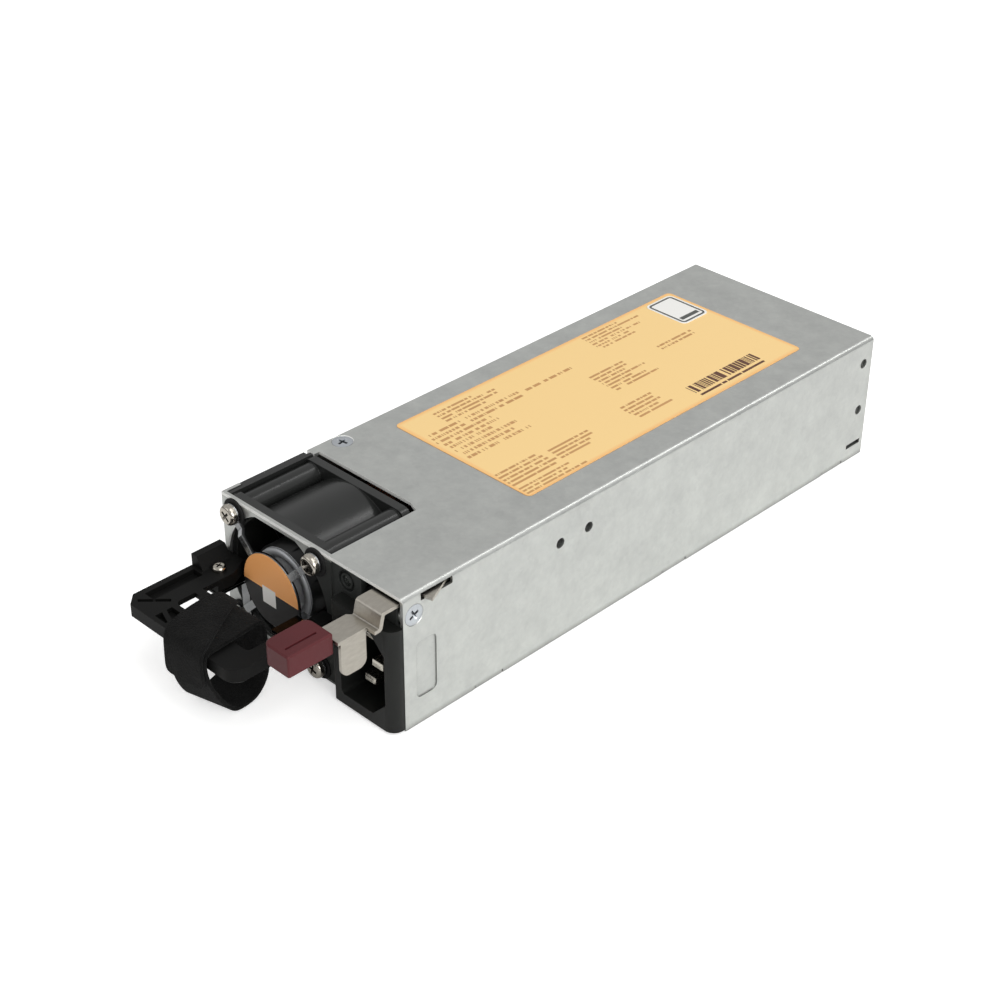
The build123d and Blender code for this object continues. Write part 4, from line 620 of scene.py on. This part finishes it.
brushed_pile, tree, shader = new_material("brushed_nylon_tape")
spot = place_of(tree)
pile = add_node(tree, "ShaderNodeTexNoise", {"Vector": spot, "Scale": 2600.0, "Detail": 5.0, "Roughness": 0.75})
tufts = add_node(tree, "ShaderNodeTexVoronoi", {"Vector": spot, "Scale": 1700.0})
worn = add_node(tree, "ShaderNodeTexNoise", {"Vector": spot, "Scale": 260.0, "Detail": 4.0})
lint = add_node(tree, "ShaderNodeMath", {0: worn.outputs["Fac"], 1: pile.outputs["Fac"]}, operation="MULTIPLY")
tone = add_node(tree, "ShaderNodeValToRGB", {"Fac": lint.outputs[0]})
tone.color_ramp.elements[0].position, tone.color_ramp.elements[0].color = 0.14, linear("#090909")
tone.color_ramp.elements[1].position, tone.color_ramp.elements[1].color = 0.42, linear("#181817")
height = add_node(tree, "ShaderNodeMath", {0: tufts.outputs["Distance"], 1: 0.6, 2: pile.outputs["Fac"]},
                  operation="MULTIPLY_ADD")
bump = add_node(tree, "ShaderNodeBump", {"Height": height.outputs[0], "Strength": 0.7, "Distance": 0.0004})
tree.links.new(tone.outputs[0], shader.inputs["Base Color"])
tree.links.new(bump.outputs[0], shader.inputs["Normal"])
shader.inputs["Roughness"].default_value = 0.92
shader.inputs["Sheen Weight"].default_value = 0.04
shader.inputs["Specular IOR Level"].default_value = 0.1
shader.inputs["Sheen Roughness"].default_value = 0.5
for tape in (loop_tape, closing_tape):
    tape.data.materials.append(brushed_pile)
    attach(tape, "case")
    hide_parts("cable_strap")


# The release lever, its rivet and spring: a stainless strip, blanked, stepped and bent, on a shouldered rivet.
# Tumbling leaves the strip satin and slightly warm, with a brighter line along each sheared edge.
tumbled_stainless = plated_metal("tumbled_stainless_strip", "#CDC8BE", "#ABA59B", 0.33, 0.8, (1.0, 0.3, 1.0))
finish_node(tumbled_stainless, "release_lever", edge=0.28)
finish_node(bright_steel, "lever_pivot", "lever_spring", edge=0)


# The grip: a burgundy block moulded over the lever's end, with a sunk line on top to feel the pull direction.
# The nylon is satin, and its broken edges catch a little light.
grip_nylon, _ = moulded_plastic("burgundy_nylon_moulding", "#4D1E21", "#5B2529", 0.3, 0.42)
finish_node(grip_nylon, "lever_grip", edge=0.2)


# The rating label: a polyester sticker, pale yellow with a stronger orange rim where the ink lies thicker.
# Its print is only plain bars and blocks in brown ink, as no words, marks or numbers go on it.
def from_edges(tree, name):
    """How far in from a flat node's edges a point lies, in metres across X and along Y, as two sockets."""
    axes = add_node(tree, "ShaderNodeSeparateXYZ", {0: place_of(tree)})
    low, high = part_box(name)
    inward = []
    for i, axis in enumerate("XY"):
        middle, half = (low[i] + high[i]) / 2, (high[i] - low[i]) / 2
        offset = add_node(tree, "ShaderNodeMath", {0: axes.outputs[axis], 1: middle}, operation="SUBTRACT")
        distance = add_node(tree, "ShaderNodeMath", {0: offset.outputs[0]}, operation="ABSOLUTE")
        to_edge = add_node(tree, "ShaderNodeMath", {0: half, 1: distance.outputs[0]}, operation="SUBTRACT")
        inward.append(to_edge.outputs[0])
    return inward


label_film, tree, shader = new_material("printed_polyester_label")
across, along = from_edges(tree, "rating_label")
rim = add_node(tree, "ShaderNodeMath", {0: across, 1: along}, operation="MINIMUM")
pale = add_node(tree, "ShaderNodeMapRange", {"Value": rim.outputs[0], "From Min": 0.1 * MM, "From Max": 1.8 * MM})
mottle = add_node(tree, "ShaderNodeTexNoise", {"Vector": place_of(tree), "Scale": 90.0, "Detail": 5.0})
share = add_node(tree, "ShaderNodeMath", {0: mottle.outputs["Fac"], 1: 0.16, 2: pale.outputs[0]},
                 operation="MULTIPLY_ADD")
ink = add_node(tree, "ShaderNodeValToRGB", {"Fac": share.outputs[0]})
ink.color_ramp.elements[0].position, ink.color_ramp.elements[0].color = 0.05, linear("#F8BE78")
ink.color_ramp.elements[1].position, ink.color_ramp.elements[1].color = 0.95, linear("#F9D593")
tree.links.new(ink.outputs[0], shader.inputs["Base Color"])
shader.inputs["Roughness"].default_value = 0.58
finish_node(label_film, "rating_label", edge=0, smooth=False)


ink_rise = 0.01 * MM  # how far the print lies over the label's face


def printed_rows(corner, size, rows, words, keep, seed):
    """A block of plain printed bars: rows across X, each broken along Y into words, kept by a share."""
    deselect()
    bpy.ops.mesh.primitive_grid_add(x_subdivisions=2 * rows - 1, y_subdivisions=words, size=1.0)
    block = bpy.context.object
    bpy.ops.object.mode_set(mode="EDIT")
    bpy.ops.mesh.select_mode(type="FACE")
    bpy.ops.mesh.select_all(action="DESELECT")
    mesh = bmesh.from_edit_mesh(block.data)
    chance = random.Random(seed)
    lengths = [chance.uniform(0.55, 1.0) if rows > 2 else 1.0 for _ in range(rows)]
    middles = {face: face.calc_center_median() for face in mesh.faces}
    for face in sorted(mesh.faces, key=lambda f: (round(middles[f].x, 4), middles[f].y)):
        centre = middles[face]
        row = int((centre.x + 0.5) * (2 * rows - 1))
        face.select = bool(row % 2) or centre.y + 0.5 > lengths[row // 2] or chance.random() > keep
    bmesh.update_edit_mesh(block.data)
    bpy.ops.mesh.delete(type="FACE")
    bpy.ops.object.mode_set(mode="OBJECT")
    low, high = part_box("rating_label")
    place = [low[i] + (corner[i] + size[i] / 2) * MM for i in (0, 1)] + [high[2] + ink_rise]
    block.data.transform(Matrix.Translation(place) @ Matrix.Diagonal((size[0] * MM, size[1] * MM, 1, 1)))
    return block


# Corner and size in mm from the label's front left corner, rows, words along a row, the share kept, the seed
small_print = [
    ((2.8, 11.6), (5.9, 24.0), 4, 66, 0.74, 1),
    ((10.3, 1.6), (7.4, 36.4), 4, 92, 0.60, 2),
    ((18.6, 2.4), (8.2, 29.0), 4, 78, 0.56, 3),
    ((11.1, 39.6), (1.1, 18.7), 1, 48, 0.78, 4),
    ((37.3, 0.8), (7.5, 18.6), 5, 52, 0.84, 5),
    ((38.5, 20.0), (5.6, 17.0), 4, 48, 0.90, 6),
    ((46.4, 0.8), (3.6, 27.0), 3, 76, 0.78, 7),
    ((1.6, 73.0), (8.6, 24.0), 6, 60, 0.72, 8),
    ((19.1, 57.6), (10.8, 19.0), 7, 54, 0.78, 9),
    ((36.9, 50.6), (7.6, 16.0), 5, 48, 0.82, 10),
    ((20.4, 85.6), (2.6, 15.0), 2, 42, 0.74, 11),
]
bold_print = [
    ((42.4, 72.6), (4.2, 29.0), 1, 96, 0.60, 12),
    ((47.7, 72.8), (0.9, 28.4), 1, 60, 0.86, 13),
]
for name, blocks, colour, deep in (("label_small_print", small_print, "#CF9F6A", "#BC8C5A"),
                                   ("label_bold_print", bold_print, "#6E4E3E", "#5C4034")):
    ink, _ = moulded_plastic(name.replace("label", "brown_ink_of"), colour, deep, 0.4, 0.55, 0.0)
    bars = [printed_rows(*block) for block in blocks]
    deselect()
    for block in bars:
        block.select_set(True)
    bpy.context.view_layer.objects.active = bars[0]
    bpy.ops.object.join()
    piece = bpy.context.object
    piece.name = name
    piece.data.materials.append(ink)
    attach(piece, "case")


# The badge: a small white sticker on the label, with a dark grey printed rim and only one plain bar inside it.
# Vinyl film is smooth and a little glossier than the label under it.
badge_film, tree, shader = new_material("white_vinyl_badge")
low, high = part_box("badge_label")
corner_inset, rim_r, rim_half = 2.0 * MM, 1.05 * MM, 0.36 * MM
beyond = []
for inward in from_edges(tree, "badge_label"):
    past = add_node(tree, "ShaderNodeMath", {0: corner_inset, 1: inward}, operation="SUBTRACT")
    beyond.append(add_node(tree, "ShaderNodeMath", {0: past.outputs[0], 1: 0.0}, operation="MAXIMUM").outputs[0])
reach = add_node(tree, "ShaderNodeCombineXYZ", {0: beyond[0], 1: beyond[1]})
round_rim = add_node(tree, "ShaderNodeVectorMath", {0: reach.outputs[0]}, operation="LENGTH")
on_rim = add_node(tree, "ShaderNodeMath", {0: round_rim.outputs["Value"], 1: rim_r, 2: rim_half}, operation="COMPARE")
bar_x, bar_y, bar_half = high[0] - 3.0 * MM, (low[1] + high[1]) / 2, (0.8 * MM, 3.9 * MM)
axes = add_node(tree, "ShaderNodeSeparateXYZ", {0: place_of(tree)})
across = add_node(tree, "ShaderNodeMath", {0: axes.outputs["X"], 1: bar_x, 2: bar_half[0]}, operation="COMPARE")
along = add_node(tree, "ShaderNodeMath", {0: axes.outputs["Y"], 1: bar_y, 2: bar_half[1]}, operation="COMPARE")
bar = add_node(tree, "ShaderNodeMath", {0: across.outputs[0], 1: along.outputs[0]}, operation="MULTIPLY")
inked = add_node(tree, "ShaderNodeMath", {0: bar.outputs[0], 1: on_rim.outputs[0]}, operation="MAXIMUM")
shown = add_node(tree, "ShaderNodeMix", {0: inked.outputs[0], 6: linear("#F3F2EE"), 7: linear("#4E514E")},
                 data_type="RGBA")
tree.links.new(shown.outputs[2], shader.inputs["Base Color"])
shader.inputs["Roughness"].default_value = 0.32
finish_node(badge_film, "badge_label", edge=0, smooth=False)


# The boards: FR4 laminate under green solder mask, with gold contacts on the edge, over a black film.
# Copper tracks show through the mask as paler lines, and the gold is hard, bright and lightly brushed.
green_mask, tree, shader = new_material("green_solder_mask")
spot = place_of(tree)
tracks = add_node(tree, "ShaderNodeTexBrick", {"Vector": spot, "Scale": 140.0, "Mortar Size": 0.06,
                                               "Color1": linear("#1F5A3A"), "Color2": linear("#245F40"),
                                               "Mortar": linear("#3C7D57")})
weave = add_node(tree, "ShaderNodeTexNoise", {"Vector": spot, "Scale": 900.0, "Detail": 3.0})
bump = add_node(tree, "ShaderNodeBump", {"Height": weave.outputs["Fac"], "Strength": 0.1, "Distance": 0.0001})
tree.links.new(tracks.outputs["Color"], shader.inputs["Base Color"])
tree.links.new(bump.outputs[0], shader.inputs["Normal"])
shader.inputs["Roughness"].default_value = 0.34
finish_node(green_mask, "main_board", "control_board", edge=0.1)
hard_gold = plated_metal("hard_gold_plating", "#E3C272", "#C7A04E", 0.24, 0.3, (1.0, 0.2, 1.0))
finish_node(hard_gold, "edge_contacts", edge=0, smooth=False)
black_film, _ = moulded_plastic("black_polycarbonate_film", "#141414", "#1E1E1E", 1.0, 0.24, 0.03)
finish_node(black_film, "insulator_sheet", edge=0, smooth=False)
finish_node(blue_zinc, "board_standoffs", "board_screws", edge=0.1)


# The power components, seen only through the vents: wound chokes, capacitors, heatsink, transformer and chips.
# Each has its common finish: copper wire, shrink sleeve, extruded aluminium, ferrite, tape and moulded epoxy.
choke_wire = wound_wire("enamelled_choke_wire", "#7E3F20", "#2E150B", 1.0, "X")
finish_node(choke_wire, "pfc_choke", "emi_choke", edge=0)
shrink_sleeve, _ = moulded_plastic("black_shrink_sleeve", "#18191C", "#222328", 3.0, 0.26, 0.03)
finish_node(shrink_sleeve, "bulk_capacitor", edge=0)
drawn_aluminium = plated_metal("drawn_aluminium", "#C6C8C9", "#A5A8AA", 0.34, 0.4, (1.0, 0.1, 1.0))
finish_node(drawn_aluminium, "primary_heatsink", "output_capacitors", edge=0.1)
sintered_ferrite, _ = moulded_plastic("sintered_ferrite", "#2B2C2E", "#3A3B3D", 0.4, 0.62, 0.3)
finish_node(sintered_ferrite, "transformer_core", "output_inductor", edge=0.15)
winding_tape, _ = moulded_plastic("yellow_polyester_tape", "#C6A531", "#D8BA4A", 1.5, 0.36, 0.05)
finish_node(winding_tape, "transformer_winding", edge=0)
cast_epoxy, _ = moulded_plastic("grey_epoxy_case", "#63676B", "#75797D", 0.5, 0.5, 0.1)
finish_node(cast_epoxy, "x_capacitors", "relay", "fuse", edge=0.15)
chip_epoxy, _ = moulded_plastic("black_chip_epoxy", "#1B1C1D", "#262728", 0.3, 0.55, 0.15)
finish_node(chip_epoxy, "mosfets", "bridge_rectifier", "control_chips", edge=0.1)
rolled_copper = plated_metal("rolled_copper", "#C9805A", "#A4603E", 0.34, 0.4, (1.0, 0.1, 1.0))
finish_node(rolled_copper, "output_busbars", edge=0.1)
